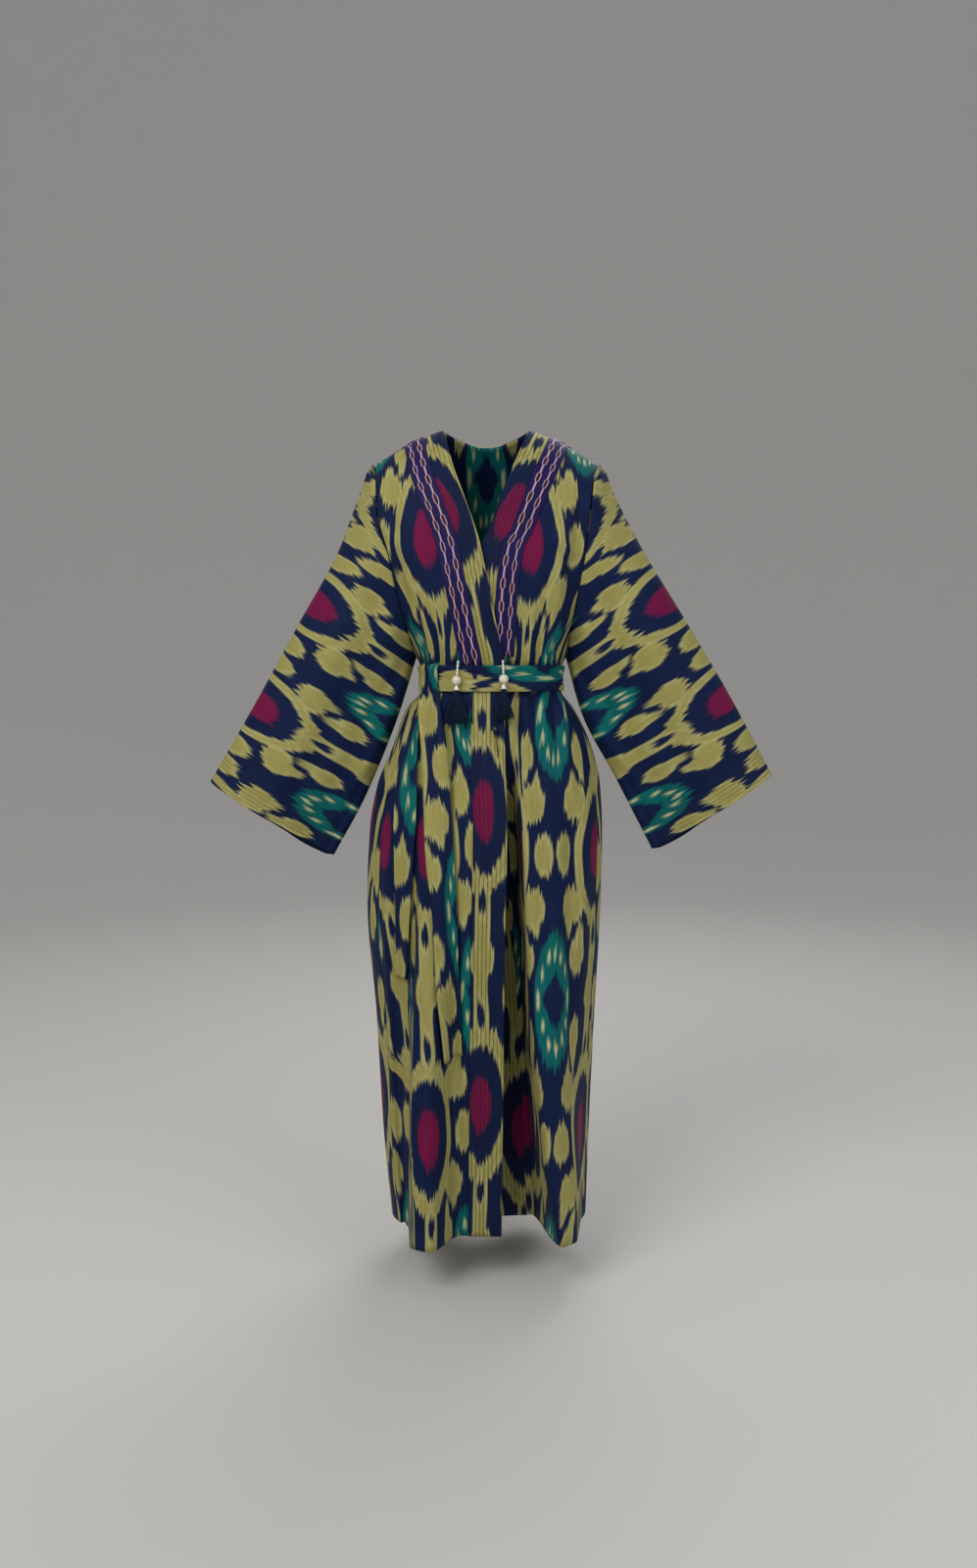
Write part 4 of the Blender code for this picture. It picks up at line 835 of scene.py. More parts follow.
# ---------------------------------------------------------------- left front
# The wearer's left front mirrors the cut of the right one and passes under it. Its skirt falls back
# into a deep valley beside the lapped edge, and then stands out in a round fold.
LEFT_AXIS = (
    Axis(0.020, 0.0700, 1.0), Axis(-0.167, 0.0685, 1.0), Axis(-0.275, 0.0650, 1.5),
    Axis(-0.338, 0.0610, 2.2), Axis(-0.373, 0.0560, 2.0), Axis(-0.454, 0.0440, 1.6),
    Axis(-0.520, 0.0500, 1.15), Axis(-0.640, 0.0600, 1.0), Axis(-1.112, 0.0680, 1.0),
    Axis(-1.265, 0.0720, 1.0),
)
LEFT_CRIMSON_ROWS = (-0.648, -0.167)
LEFT_FOLD = (
    Fold(-0.375, 0.046, 0.1065, 1.25), Fold(-0.450, 0.050, 0.1065, 1.12),
    Fold(-0.560, 0.053, 0.1065, 1.0), Fold(-0.700, 0.058, 0.1065, 1.0),
    Fold(-0.900, 0.067, 0.1065, 1.0), Fold(-1.070, 0.079, 0.1030, 1.0),
    Fold(-1.265, 0.083, 0.1010, 1.0),
)
front_panel("front_left", FRONT_SHELL_COLUMNS + 16, LEFT_AXIS, LEFT_FOLD, REPEAT_ACROSS / 2.0,
            LEFT_CRIMSON_ROWS)

# ---------------------------------------------------------------- back
# One wide panel from the neck and shoulder seams to the hem, in the same ikat. Its warp carries on
# over the shoulders from the fronts, the belt draws it in, and it falls in two folds and a hollow.
NECK_HALF = 0.0686
NECK_CURL = 2.2
LEVEL_CURL = 1.4
BACK_ROWS_TOP = 40
BACK_ROWS_LEVEL = 118
BACK_SHELL_COLUMNS = 128
BackRow = namedtuple("BackRow", "out side_z middle_z level")
BACK_TOP = (
    BackRow(0.000, None, 0.005, 0.00), BackRow(0.019, None, -0.012, 0.00),
    BackRow(0.034, None, -0.026, 0.00), BackRow(0.053, None, -0.044, 0.00),
    BackRow(0.068, None, -0.058, 0.05), BackRow(0.090, None, -0.080, 0.35),
    BackRow(0.1123, None, -0.102, 0.60), BackRow(None, -0.0391, -0.117, 0.68),
    BackRow(None, -0.0551, -0.131, 0.76), BackRow(None, -0.0791, -0.146, 0.84),
    BackRow(None, -0.1131, -0.163, 0.91), BackRow(None, -0.1531, -0.181, 0.96),
    BackRow(None, -0.1911, -0.200, 1.00),
)
LAST_SHOULDER_ROW = 6  # of BACK_TOP
BACK_FIRST_LEVEL = -0.222
BACK_CREASES = (
    Crease(-0.140, -0.070, -0.098, -0.300, 0.010, 0.013, -0.0045),
    Crease(-0.105, -0.120, -0.078, -0.345, 0.006, 0.011, 0.0036),
    Crease(-0.020, -0.150, -0.030, -0.340, 0.004, 0.012, 0.0030),
    Crease(0.034, -0.180, 0.026, -0.345, -0.003, 0.011, -0.0034),
    Crease(0.090, -0.110, 0.074, -0.340, -0.006, 0.011, 0.0040),
    Crease(0.138, -0.080, 0.110, -0.310, -0.008, 0.012, -0.0045),
    Crease(-0.090, -0.356, -0.094, -0.275, 0.001, 0.0050, -0.0040),
    Crease(-0.070, -0.356, -0.071, -0.300, 0.001, 0.0045, 0.0034),
    Crease(-0.046, -0.356, -0.047, -0.268, 0.001, 0.0050, -0.0034),
    Crease(-0.018, -0.356, -0.017, -0.300, 0.001, 0.0050, 0.0030),
    Crease(0.010, -0.356, 0.011, -0.280, 0.001, 0.0045, -0.0034),
    Crease(0.038, -0.356, 0.040, -0.300, 0.001, 0.0050, 0.0036),
    Crease(0.064, -0.356, 0.067, -0.272, 0.001, 0.0045, -0.0038),
    Crease(0.088, -0.356, 0.094, -0.296, 0.001, 0.0050, 0.0034),
    Crease(-0.094, -0.390, -0.128, -0.600, 0.005, 0.0065, -0.0050),
    Crease(-0.074, -0.390, -0.088, -0.700, 0.003, 0.0060, 0.0046),
    Crease(-0.054, -0.390, -0.062, -0.560, 0.002, 0.0055, -0.0046),
    Crease(-0.034, -0.390, -0.042, -0.660, 0.002, 0.0060, 0.0040),
    Crease(-0.012, -0.390, -0.016, -0.620, 0.001, 0.0060, -0.0046),
    Crease(0.012, -0.390, 0.020, -0.540, 0.001, 0.0055, 0.0040),
    Crease(0.034, -0.390, 0.046, -0.680, 0.002, 0.0065, -0.0050),
    Crease(0.056, -0.390, 0.072, -0.560, 0.003, 0.0055, 0.0042),
    Crease(0.078, -0.390, 0.098, -0.640, 0.004, 0.0060, -0.0046),
    Crease(0.100, -0.390, 0.134, -0.590, 0.006, 0.0065, 0.0046),
    Crease(-0.134, -0.560, -0.140, -1.150, 0.004, 0.0120, 0.0044),
    Crease(-0.010, -0.640, -0.014, -1.265, 0.003, 0.0120, -0.0040),
    Crease(0.030, -0.600, 0.026, -1.100, -0.003, 0.0110, 0.0040),
    Crease(0.112, -0.620, 0.118, -1.240, 0.003, 0.0120, -0.0048),
)
BACK_GATHERS = (
    Axis(0.030, 0.0, 1.0), Axis(-0.250, 0.0, 1.1), Axis(-0.338, 0.0, 1.6), Axis(-0.373, 0.0, 1.7),
    Axis(-0.454, 0.0, 1.4), Axis(-0.560, 0.0, 1.0), Axis(-1.265, 0.0, 1.0),
)
SHOULDER_WARP = 0.170  # how far up the warp the shoulder seam lies from the chest's crimson row


def back_share(row):
    """How far down the back's upper part one of its rows lies."""
    return row / (len(BACK_TOP) - 1)


def back_top_row(at, u):
    """A row of the back's upper part. at runs from 0 on the neck edge to 1 on the first level rows."""
    place = at * (len(BACK_TOP) - 1)
    row = {}
    for name in ("middle_z", "level"):
        row[name] = float(Track(range(len(BACK_TOP)), [getattr(r, name) for r in BACK_TOP])(place))
    reach_table, drop_table = [], []
    for entry in BACK_TOP:
        if entry.out is None:
            pair = [float(armhole[side](entry.side_z)) for side in ("right", "left")]
            drop_table.append([float(ridge(p)) - entry.side_z for p in pair])
        else:
            pair = [NECK_HALF + entry.out] * 2
            drop_table.append([0.0, 0.0])
        reach_table.append(pair)
    places = np.arange(len(BACK_TOP))
    reach = [float(np.interp(place, places, [pair[k] for pair in reach_table])) for k in (0, 1)]
    drop = [float(np.interp(place, places, [pair[k] for pair in drop_table])) for k in (0, 1)]
    out = np.where(u < 0, reach[0], reach[1])
    side_drop = np.where(u < 0, drop[0], drop[1])
    x = out * mix(np.sin(u * math.pi / 2.0), u, row["level"])
    curl = mix(NECK_CURL, LEVEL_CURL, row["level"])
    dip = np.cos(u * math.pi / 2.0)
    z = ridge(np.abs(x)) - mix(side_drop, ridge(0.0) - row["middle_z"], dip ** curl)
    return np.stack([x, surface_y("back", x, z), z], axis=1)


def back_level_row(row_z, u):
    right, left = outer_angle("right", row_z), outer_angle("left", row_z)
    way = -1.0 if row_z > UNDERARM_Z else 1.0
    dense = row_points("back", row_z, np.linspace(way * right, -math.pi - way * left, DENSE))
    run = along(dense)
    return picked(dense, run, run[-1] * (u + 1.0) / 2.0)


def back_grid(columns, tops, levels):
    u = np.linspace(-1.0, 1.0, columns)
    rows = [back_top_row(at, u) for at in tops] + [back_level_row(z, u) for z in levels]
    for row in rows:
        edge_in = row[[1, -2]] - row[[0, -1]]
        row[[0, -1]] += edge_in / np.linalg.norm(edge_in, axis=1)[:, None] * SEAM_HALF_GAP
    rows = np.array(rows)
    on_shoulder = sum(at <= back_share(LAST_SHOULDER_ROW) for at in tops)
    rows[:on_shoulder, [0, -1]] += (0.0, SEAM_HALF_GAP, 0.0)
    return rows


BACKWARD = (0.0, 1.0, 0.0)
back_tops = np.linspace(0.0, 1.0, BACK_ROWS_TOP)
back_levels = np.linspace(BACK_FIRST_LEVEL, HEM_Z, BACK_ROWS_LEVEL)
back_points = back_grid(BACK_SHELL_COLUMNS, back_tops, back_levels)
back_marks = np.array([along(row) for row in back_points])
back_marks = back_marks - back_marks[:, -1:] / 2.0
back_gather = tracks(BACK_GATHERS)["gather"](np.median(back_points[..., 2], axis=1))
back_across = REPEAT_ACROSS / 2.0 + back_marks * back_gather[:, None]
back_steps = np.linalg.norm(np.diff(back_points, axis=0), axis=2)
back_steps[BACK_ROWS_TOP:] = np.median(back_steps[BACK_ROWS_TOP:], axis=1)[:, None]
back_warp = np.vstack([np.zeros(BACK_SHELL_COLUMNS), np.cumsum(back_steps, axis=0)])
back_warp += SHOULDER_WARP
back_shape = worn(back_points, BACKWARD, BACK_CREASES, seams=(0, -1))
back_cloth = cloth_object("back_cloth", back_shape, back_across, back_warp, BACKWARD)
finished(back_cloth, "ikat_cotton", robe_ikat, "back", "back_skirt")

# ---------------------------------------------------------------- sleeves
# Two wide straight tubes of the same ikat, with the warp running round the arm, sewn into the
# armholes and folded flat along the top. The cuffs are turned in and held by rows of topstitching.
SleeveEdge = namedtuple("SleeveEdge", "at x z")
SLEEVE_TOP = {
    "right": (
        SleeveEdge(0.00, -0.1809, -0.0311), SleeveEdge(0.03, -0.1885, -0.0400),
        SleeveEdge(0.07, -0.1960, -0.0610), SleeveEdge(0.14, -0.2116, -0.1028),
        SleeveEdge(0.27, -0.2376, -0.1702), SleeveEdge(0.50, -0.3010, -0.2830),
        SleeveEdge(0.75, -0.3770, -0.4180), SleeveEdge(1.00, -0.4500, -0.5411),
    ),
    "left": (
        SleeveEdge(0.00, 0.1810, -0.0311), SleeveEdge(0.03, 0.1885, -0.0400),
        SleeveEdge(0.07, 0.1960, -0.0590), SleeveEdge(0.12, 0.2067, -0.0841),
        SleeveEdge(0.27, 0.2487, -0.1640), SleeveEdge(0.50, 0.3160, -0.2730),
        SleeveEdge(0.75, 0.3890, -0.3930), SleeveEdge(1.00, 0.4643, -0.5289),
    ),
}
SLEEVE_BOTTOM = {
    "right": (
        SleeveEdge(0.00, -0.1150, -0.3380), SleeveEdge(0.30, -0.1455, -0.4330),
        SleeveEdge(0.65, -0.2000, -0.5650), SleeveEdge(1.00, -0.2520, -0.6610),
    ),
    "left": (
        SleeveEdge(0.00, 0.1300, -0.3380), SleeveEdge(0.28, 0.1580, -0.4320),
        SleeveEdge(0.62, 0.2130, -0.5350), SleeveEdge(1.00, 0.2730, -0.6510),
    ),
}
SleeveRing = namedtuple("SleeveRing", "at front back")
SLEEVE_DEPTH = (
    SleeveRing(0.00, 0.080, 0.078), SleeveRing(0.20, 0.066, 0.062),
    SleeveRing(0.50, 0.052, 0.048), SleeveRing(1.00, 0.040, 0.038),
)
SLEEVE_FORWARD = 0.010
CUFF_LONGER = 0.016
CUFF_LONGER_FROM = 0.6
TOP_FULLER = 0.30
HANG_BY = 0.5
SEAM_LEAVES_BY = 0.35
DRAPE_OPENS = 0.25
SOFT_CREASE_FADES = 0.4  # of its length
SOFT_CREASE_FROM = 0.06  # of the sleeve's length
# The drapes are the large ones of the solid, and the creases are soft. Turns are in degrees round
# the sleeve: 0 the top fold, 90 the front, 180 the lower fold, 270 the back.
Drape = namedtuple("Drape", "start_at start_turn end_at end_turn width height")
SLEEVE_DRAPES = (
    Drape(0.10, 100.0, 0.95, 128.0, 26.0, -0.010),
    Drape(0.18, 66.0, 1.00, 84.0, 24.0, 0.006),
    Drape(0.05, 250.0, 0.90, 232.0, 28.0, -0.009),
    Drape(0.30, 290.0, 1.00, 276.0, 24.0, 0.006),
)
SLEEVE_CREASES = (
    Drape(0.02, 150.0, 0.62, 112.0, 8.0, -0.0055),
    Drape(0.02, 128.0, 0.48, 88.0, 7.0, 0.0045),
    Drape(0.04, 112.0, 0.34, 62.0, 8.0, -0.0045),
    Drape(0.03, 165.0, 0.80, 140.0, 7.0, 0.0040),
    Drape(0.10, 84.0, 0.66, 70.0, 9.0, 0.0030),
    Drape(0.34, 118.0, 0.98, 108.0, 10.0, 0.0045),
    Drape(0.42, 96.0, 1.02, 98.0, 8.0, -0.0045),
    Drape(0.30, 48.0, 0.92, 44.0, 10.0, -0.0030),
    Drape(0.55, 150.0, 1.02, 152.0, 8.0, -0.0038),
    Drape(0.02, 205.0, 0.58, 246.0, 8.0, -0.0055),
    Drape(0.03, 232.0, 0.50, 268.0, 7.0, 0.0045),
    Drape(0.05, 262.0, 0.38, 304.0, 8.0, -0.0040),
    Drape(0.36, 244.0, 1.02, 256.0, 9.0, 0.0045),
    Drape(0.46, 212.0, 1.02, 206.0, 8.0, -0.0040),
)
SLEEVE_RINGS = 92
CUFF_RINGS = 34  # of them, along the topstitched cuff
CUFF_SHARE = 0.085  # of the sleeve's length
SLEEVE_TURNS = 121
TOPSTITCH_GROOVE = 0.0005
CUFF_ROWS = 7  # of topstitching, and how far apart
CUFF_ROW_PITCH = 0.0065
CUFF_FIRST_ROW = 0.006
CUFF_STITCH_LIFT = 0.00008
CUFF_GROOVE = 0.0012
WarpLean = namedtuple("WarpLean", "run degrees")
WARP_LEAN = (WarpLean(0.0, 46.0), WarpLean(0.12, 42.0), WarpLean(0.30, 35.0), WarpLean(0.56, 31.0))
SLEEVE_CRIMSON_RUN = 0.240  # from the shoulder tip to the first crimson axis
SLEEVE_CRIMSON_DOWN = 0.004  # from the top fold to the crimson row
SHOULDER_SLIP = 0.115  # how far the pattern has run up the warp by the shoulder
SLIP_FROM = 0.35  # repeats from the first crimson axis to where it starts, and over which it comes
SLIP_OVER = 0.35
RUN_ROUNDS = 12  # rounds and step of the search for a place's run along the top fold
RUN_STEP = 0.7
RUN_PAST = 1.1  # the search goes this far past the cuff, as a share of the fold
sleeve_ikat = ikat("sleeve_ikat", core=(4.15, 9.0), heart=(2.15, 4.85), ring_reach=9.6,
                   rows=(CUFF_FIRST_ROW, CUFF_ROW_PITCH, CUFF_ROWS))
SLEEVE_FULLNESS = 1.05  # cloth round the bulge, over its flat width


def armhole_loop(side, turns):
    """The armhole's seam line; turn 0 is the shoulder tip, 90 the front and 180 the underarm."""
    sign = -1.0 if side == "right" else 1.0
    points = []
    for turn in turns:
        z = mix(UNDERARM_Z, SHOULDER_Z, (1.0 + math.cos(turn)) / 2.0)
        x = sign * float(armhole[side](z))
        face = "front_" + side if math.sin(turn) > 0 else "back"
        y = float(surface_y(face, np.array([x]), np.array([z]))[0])
        if abs(math.sin(turn)) < 1e-6:
            y = 0.0
        points.append((x + sign * 2.0 * SEAM_HALF_GAP, y, z))
    return np.array(points)


def drape_push(drapes, at, turns):
    """How far the drapes stand out at a place along the sleeve."""
    total = np.zeros_like(turns)
    around = turns % (2.0 * math.pi)
    for drape in drapes:
        part = (at - drape.start_at) / (drape.end_at - drape.start_at)
        centre = math.radians(mix(drape.start_turn, drape.end_turn, part))
        near = np.exp(-(((around - centre) / math.radians(drape.width)) ** 2))
        total = total + drape.height * near * ease(part / DRAPE_OPENS)
    return total


def soft_push(at, turns):
    """The same for the soft creases, which also die away at their far ends."""
    total = np.zeros_like(turns)
    for drape in SLEEVE_CREASES:
        part = (at - drape.start_at) / (drape.end_at - drape.start_at)
        far = 1.0 if drape.end_at > 1.0 else ease((1.0 - part) / SOFT_CREASE_FADES)
        total = total + drape_push((drape,), at, turns) * far
    return total


def sleeve_points(side, ats, turns):
    """Rings of a sleeve from the armhole seam to the cuff, from the underarm over the back."""
    loop = armhole_loop(side, turns)
    top, bottom = tracks(SLEEVE_TOP[side], "at"), tracks(SLEEVE_BOTTOM[side], "at")
    depth = tracks(SLEEVE_DEPTH, "at")
    forward = np.sin(turns) > 0
    rings, first = [], None
    for at in ats:
        upper = np.array([float(top["x"](at)), 0.0, float(top["z"](at))])
        lower = np.array([float(bottom["x"](at)), 0.0, float(bottom["z"](at))])
        middle, reach = (upper + lower) / 2.0, (upper - lower) / 2.0
        out = np.where(forward, float(depth["front"](at)), float(depth["back"](at)))
        bulge = out * np.sin(turns) * (1.0 + TOP_FULLER * np.cos(turns))
        push = drape_push(SLEEVE_DRAPES, at, turns) + soft_push(at, turns) * ease(at / SOFT_CREASE_FROM)
        bulge = bulge + np.where(forward, push, -push)
        ring = middle + reach * np.cos(turns)[:, None] + np.array(FORWARD) * bulge[:, None]
        ring[:, 1] -= SLEEVE_FORWARD * ease(at / HANG_BY)
        fall = np.array([reach[2], 0.0, -reach[0]]) / np.linalg.norm(reach)
        fall = fall * (1.0 if fall[2] < 0 else -1.0)
        longer = CUFF_LONGER * ease((at - CUFF_LONGER_FROM) / (1.0 - CUFF_LONGER_FROM))
        ring += fall * (longer * np.clip(-np.sin(turns), 0, 1))[:, None]
        first = ring if at == 0.0 else first
        rings.append(mix(loop + ring - first, ring, ease(at / SEAM_LEAVES_BY)))
    return np.array(rings)


def sleeve_coordinates(side, grid, turns):
    """Cloth coordinates of a sleeve: across the warp along the arm, up the warp round it."""
    sign = -1.0 if side == "right" else 1.0
    top = tracks(SLEEVE_TOP[side], "at")
    ats = np.linspace(0.0, 1.0, 200)
    edge = np.stack([top["x"](ats), top["z"](ats)], axis=1)
    run = along(edge)
    lean = tracks(WARP_LEAN, "run")["degrees"]
    place = grid[..., [0, 2]]
    s = np.linalg.norm(place - edge[0], axis=2)
    for _ in range(RUN_ROUNDS):
        start = np.stack([np.interp(s, run, edge[:, 0]), np.interp(s, run, edge[:, 1])], axis=2)
        way_on = (edge[-1] - edge[-2]) / np.linalg.norm(edge[-1] - edge[-2])
        start += way_on * (s - run[-1]).clip(0)[..., None]
        angle = np.radians(lean(s))
        out = np.stack([sign * np.sin(angle), -np.cos(angle)], axis=2)
        s = (s + RUN_STEP * np.sum((place - start) * out, axis=2)).clip(0.0, run[-1] * RUN_PAST)
    down = np.stack([-sign * np.cos(angle), -np.sin(angle)], axis=2)
    depth = np.sum((place - start) * down, axis=2) * SLEEVE_FULLNESS
    back = np.sin(turns) < 0
    across = s - SLEEVE_CRIMSON_RUN
    slip = SHOULDER_SLIP * ease((-across / REPEAT_ACROSS - SLIP_FROM) / SLIP_OVER)
    return across, SLEEVE_CRIMSON_DOWN + slip - np.where(back, -depth, depth)


sleeve_turns = np.linspace(-math.pi, math.pi, SLEEVE_TURNS)
sleeve_ats = np.concatenate([
    np.linspace(0.0, 1.0 - CUFF_SHARE, SLEEVE_RINGS - CUFF_RINGS, endpoint=False),
    np.linspace(1.0 - CUFF_SHARE, 1.0, CUFF_RINGS),
])
cuff_lines = {}
for side in ("right", "left"):
    grid = sleeve_points(side, sleeve_ats, sleeve_turns)
    across, warp = sleeve_coordinates(side, grid, sleeve_turns)
    centre = grid[:, :-1].mean(axis=1)[:, None, :]
    normals = unit_normals(grid)
    normals *= np.where(np.sum(normals * (grid - centre), axis=2) < 0, -1.0, 1.0)[..., None]
    from_end = np.linalg.norm(grid - grid[-1:], axis=2)
    groove = np.zeros(from_end.shape)
    for row in range(CUFF_ROWS):
        off = from_end - CUFF_FIRST_ROW - row * CUFF_ROW_PITCH
        groove += np.exp(-((off / CUFF_GROOVE) ** 2))
    shape = grid - normals * (groove * TOPSTITCH_GROOVE)[..., None]
    raised = (grid + normals * CUFF_STITCH_LIFT)[::-1]
    lines = []
    for row in range(CUFF_ROWS):
        reach = CUFF_FIRST_ROW + row * CUFF_ROW_PITCH
        line = [picked(raised[:, j], from_end[::-1, j], reach) for j in range(SLEEVE_TURNS - 1)]
        lines.append(line + line[:1])
    cuff_lines[side] = lines
    name = "sleeve_" + side
    item = cloth_object(name + "_cloth", shape, across, warp, FORWARD, closed=True, sewn=from_end)
    finished(item, "ikat_cotton", sleeve_ikat, name)

# ---------------------------------------------------------------- edge bands
# Strips of the same ikat cut along the warp, laid over both front edges and round the neck, and
# held down by close rows of topstitching.
BAND_WALL = 0.0015
BAND_WIDTH = 0.053
BAND_COLUMNS = 58
BAND_ROWS = (0.0030, 0.0065, 8)  # of topstitching: the first, the distance between them, how many
BAND_STITCH_LINES = [BAND_ROWS[0] + k * BAND_ROWS[1] for k in range(BAND_ROWS[2])]
BAND_STITCH_LIFT = 0.00005
BAND_GROOVE = 0.0011
NECK_COLUMNS = 81
NECK_BAND_TO = 3  # the row of BACK_TOP at the neck strip's lower edge
NECK_WARP = 0.165  # how far up the warp the neck strip's ends lie
BAND_EASE = 0.97  # the strips are eased in as they are stitched
# For each strip: its crimson axis from the free edge above and far below the belt, and the heights of
# a crimson row of the skirt and of the chest's.
BandCut = namedtuple("BandCut", "axis hem_axis skirt_z chest_z")
BAND_CUTS = {
    "right": BandCut(0.0355, 0.0355, -0.576, -0.122),
    "left": BandCut(0.0225, 0.0510, -0.652, -0.133),
}
AXIS_DRIFT = (-0.60, 0.40)  # where a strip's axis starts to drift, and over what height
band_ikat = ikat("band_ikat", bump=0.45, core=(3.6, 9.4), heart=(1.60, 4.4), rows=BAND_ROWS)
band_marks = np.linspace(0.0, BAND_WIDTH, BAND_COLUMNS)
stitch_lines = []


def grooves(marks):
    """How deep a strip is drawn in at distances from its edge, as a share of a groove."""
    return sum(np.exp(-(((marks - line) / BAND_GROOVE) ** 2)) for line in BAND_STITCH_LINES)


for side in ("right", "left"):
    cut = BAND_CUTS[side]
    grid, marks = distances("front_" + side, band_marks)
    sunk = worn(grid, FORWARD, FRONT_CREASES, AIR)
    normals = grid_normals(sunk, FORWARD)
    drift = ease((AXIS_DRIFT[0] - np.median(grid[..., 2], axis=1)) / AXIS_DRIFT[1])[:, None]
    item = cloth_object(
        "band_" + side + "_strip", sunk - normals * (grooves(band_marks) * TOPSTITCH_GROOVE)[None, :, None],
        marks - mix(cut.axis, cut.hem_axis, drift), warp_run(grid, cut.skirt_z, cut.chest_z) * BAND_EASE,
        FORWARD, BAND_WALL, outside=True, sewn=marks)
    finished(item, "band_cotton", band_ikat, "band_" + side)
    raised = sunk + normals * (BAND_WALL + BAND_STITCH_LIFT)
    for line in BAND_STITCH_LINES:
        stitch_lines.append([picked(row, band_marks, line) for row in raised])

neck_rows = np.linspace(0.0, back_share(NECK_BAND_TO), BAND_COLUMNS)
neck_grid = back_grid(NECK_COLUMNS, neck_rows, [])
neck_shape = worn(neck_grid, BACKWARD, (), AIR)
neck_normals = grid_normals(neck_shape, BACKWARD)
neck_marks = np.linalg.norm(neck_grid - neck_grid[:1], axis=2)
neck_run = np.repeat([along(neck_grid[BAND_COLUMNS // 2])], BAND_COLUMNS, axis=0)
neck_half = neck_run[:, -1:] / 2.0
neck_warp = NECK_WARP + neck_half - np.abs(neck_run - neck_half)
item = cloth_object(
    "band_back_strip", neck_shape - neck_normals * (grooves(neck_marks) * TOPSTITCH_GROOVE)[..., None],
    neck_marks - BAND_CUTS["right"].axis, neck_warp, BACKWARD, BAND_WALL, outside=True, sewn=neck_marks)
finished(item, "band_cotton", band_ikat, "band_back")
raised = neck_shape + neck_normals * (BAND_WALL + BAND_STITCH_LIFT)
for line in BAND_STITCH_LINES:
    stitch_lines.append([picked(raised[:, j], neck_marks[:, j], line) for j in range(NECK_COLUMNS)])

# The topstitching of bands and cuffs: short straight stitches along each row's groove.
STITCH_LENGTH = 0.0027
STITCH_PITCH = 0.0044
STITCH_RADIUS = 0.00026
STITCH_SIDES = 5
TWIST_SCALE = 2600.0  # of a thread's fine relief


def stitch_tree():
    """Short stitches set at an even pitch along every row of a line mesh."""
    tree = bpy.data.node_groups.new("topstitching", "GeometryNodeTree")
    for name, way, kind, value in (
            ("Rows", "INPUT", "Geometry", None), ("Pitch", "INPUT", "Float", STITCH_PITCH),
            ("Length", "INPUT", "Float", STITCH_LENGTH), ("Radius", "INPUT", "Float", STITCH_RADIUS),
            ("Finish", "INPUT", "Material", None), ("Stitches", "OUTPUT", "Geometry", None)):
        socket = tree.interface.new_socket(name=name, in_out=way, socket_type="NodeSocket" + kind)
        if value is not None:
            socket.default_value = value
    given, result, rows, spots, stitch, turn, place, real, finish = (tree.nodes.new(kind) for kind in (
        "NodeGroupInput", "NodeGroupOutput", "GeometryNodeMeshToCurve", "GeometryNodeCurveToPoints",
        "GeometryNodeMeshCylinder", "FunctionNodeAlignRotationToVector",
        "GeometryNodeInstanceOnPoints", "GeometryNodeRealizeInstances", "GeometryNodeSetMaterial"))
    spots.mode = "LENGTH"
    stitch.inputs["Vertices"].default_value = STITCH_SIDES
    turn.axis = "Z"
    for source, out, target, into in (
            (given, "Rows", rows, "Mesh"), (rows, "Curve", spots, "Curve"), (given, "Pitch", spots, "Length"),
            (given, "Length", stitch, "Depth"), (given, "Radius", stitch, "Radius"),
            (spots, "Points", place, "Points"), (spots, "Tangent", turn, "Vector"),
            (turn, "Rotation", place, "Rotation"), (stitch, "Mesh", place, "Instance"),
            (place, "Instances", real, "Geometry"), (real, "Geometry", finish, "Geometry"),
            (given, "Finish", finish, "Material"), (finish, "Geometry", result, "Stitches")):
        tree.links.new(source.outputs[out], target.inputs[into])
    return tree


def made_by(tree, name, lines, values):
    """The plain mesh that a tree makes from rows of points."""
    mesh = bpy.data.meshes.new(name + "_rows")
    points, edges = [], []
    for line in lines:
        start = len(points)
        points += [tuple(point) for point in line]
        edges += [(k, k + 1) for k in range(start, len(points) - 1)]
    mesh.from_pydata(points, edges, [])
    source = in_scene(name + "_rows", mesh)
    modifier = source.modifiers.new("rows", "NODES")
    modifier.node_group = tree
    for socket in tree.interface.items_tree:
        if socket.in_out == "INPUT" and socket.name in values:
            modifier[socket.identifier] = values[socket.name]
    bpy.context.view_layer.update()
    graph = bpy.context.evaluated_depsgraph_get()
    result = bpy.data.meshes.new_from_object(source.evaluated_get(graph))
    bpy.data.objects.remove(source, do_unlink=True)
    result.name = name
    return in_scene(name, result)


def thread_finish(name, dark, light, roughness=0.7):
    """Twisted thread: a fine twist line and a slow change of shade."""
    material, shader, wire = blank_material(name)
    place = wire.node("TexCoord", out=3)
    shade = wire.node("TexNoise", None, {"Vector": place, "Scale": 260.0, "Detail": 3.0})
    fine = wire.node("TexNoise", None, {"Vector": place, "Scale": TWIST_SCALE, "Detail": 1.0})
    colour = wire.blend(((shade - 0.5) * 2.2 + 0.5).clamped(), dark, light)
    relief = wire.node("Bump", None, {"Strength": 0.3, "Distance": 0.0002, "Height": fine})
    rough = fine * 0.2 + (roughness - 0.1)
    wired(wire, shader, colour, rough, relief, Sheen_Weight=0.03, Specular_IOR_Level=0.15)
    return material


stitch_thread = thread_finish("topstitch_thread", (0.020, 0.020, 0.022, 1.0), (0.060, 0.055, 0.036, 1.0))
topstitching = stitch_tree()
band_stitches = made_by(topstitching, "band_topstitching", stitch_lines, {"Finish": stitch_thread})
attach(band_stitches, "root")
cuff_rows = cuff_lines["right"] + cuff_lines["left"]
cuff_stitches = made_by(topstitching, "cuff_topstitching", cuff_rows, {"Finish": stitch_thread})
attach(cuff_stitches, "root")

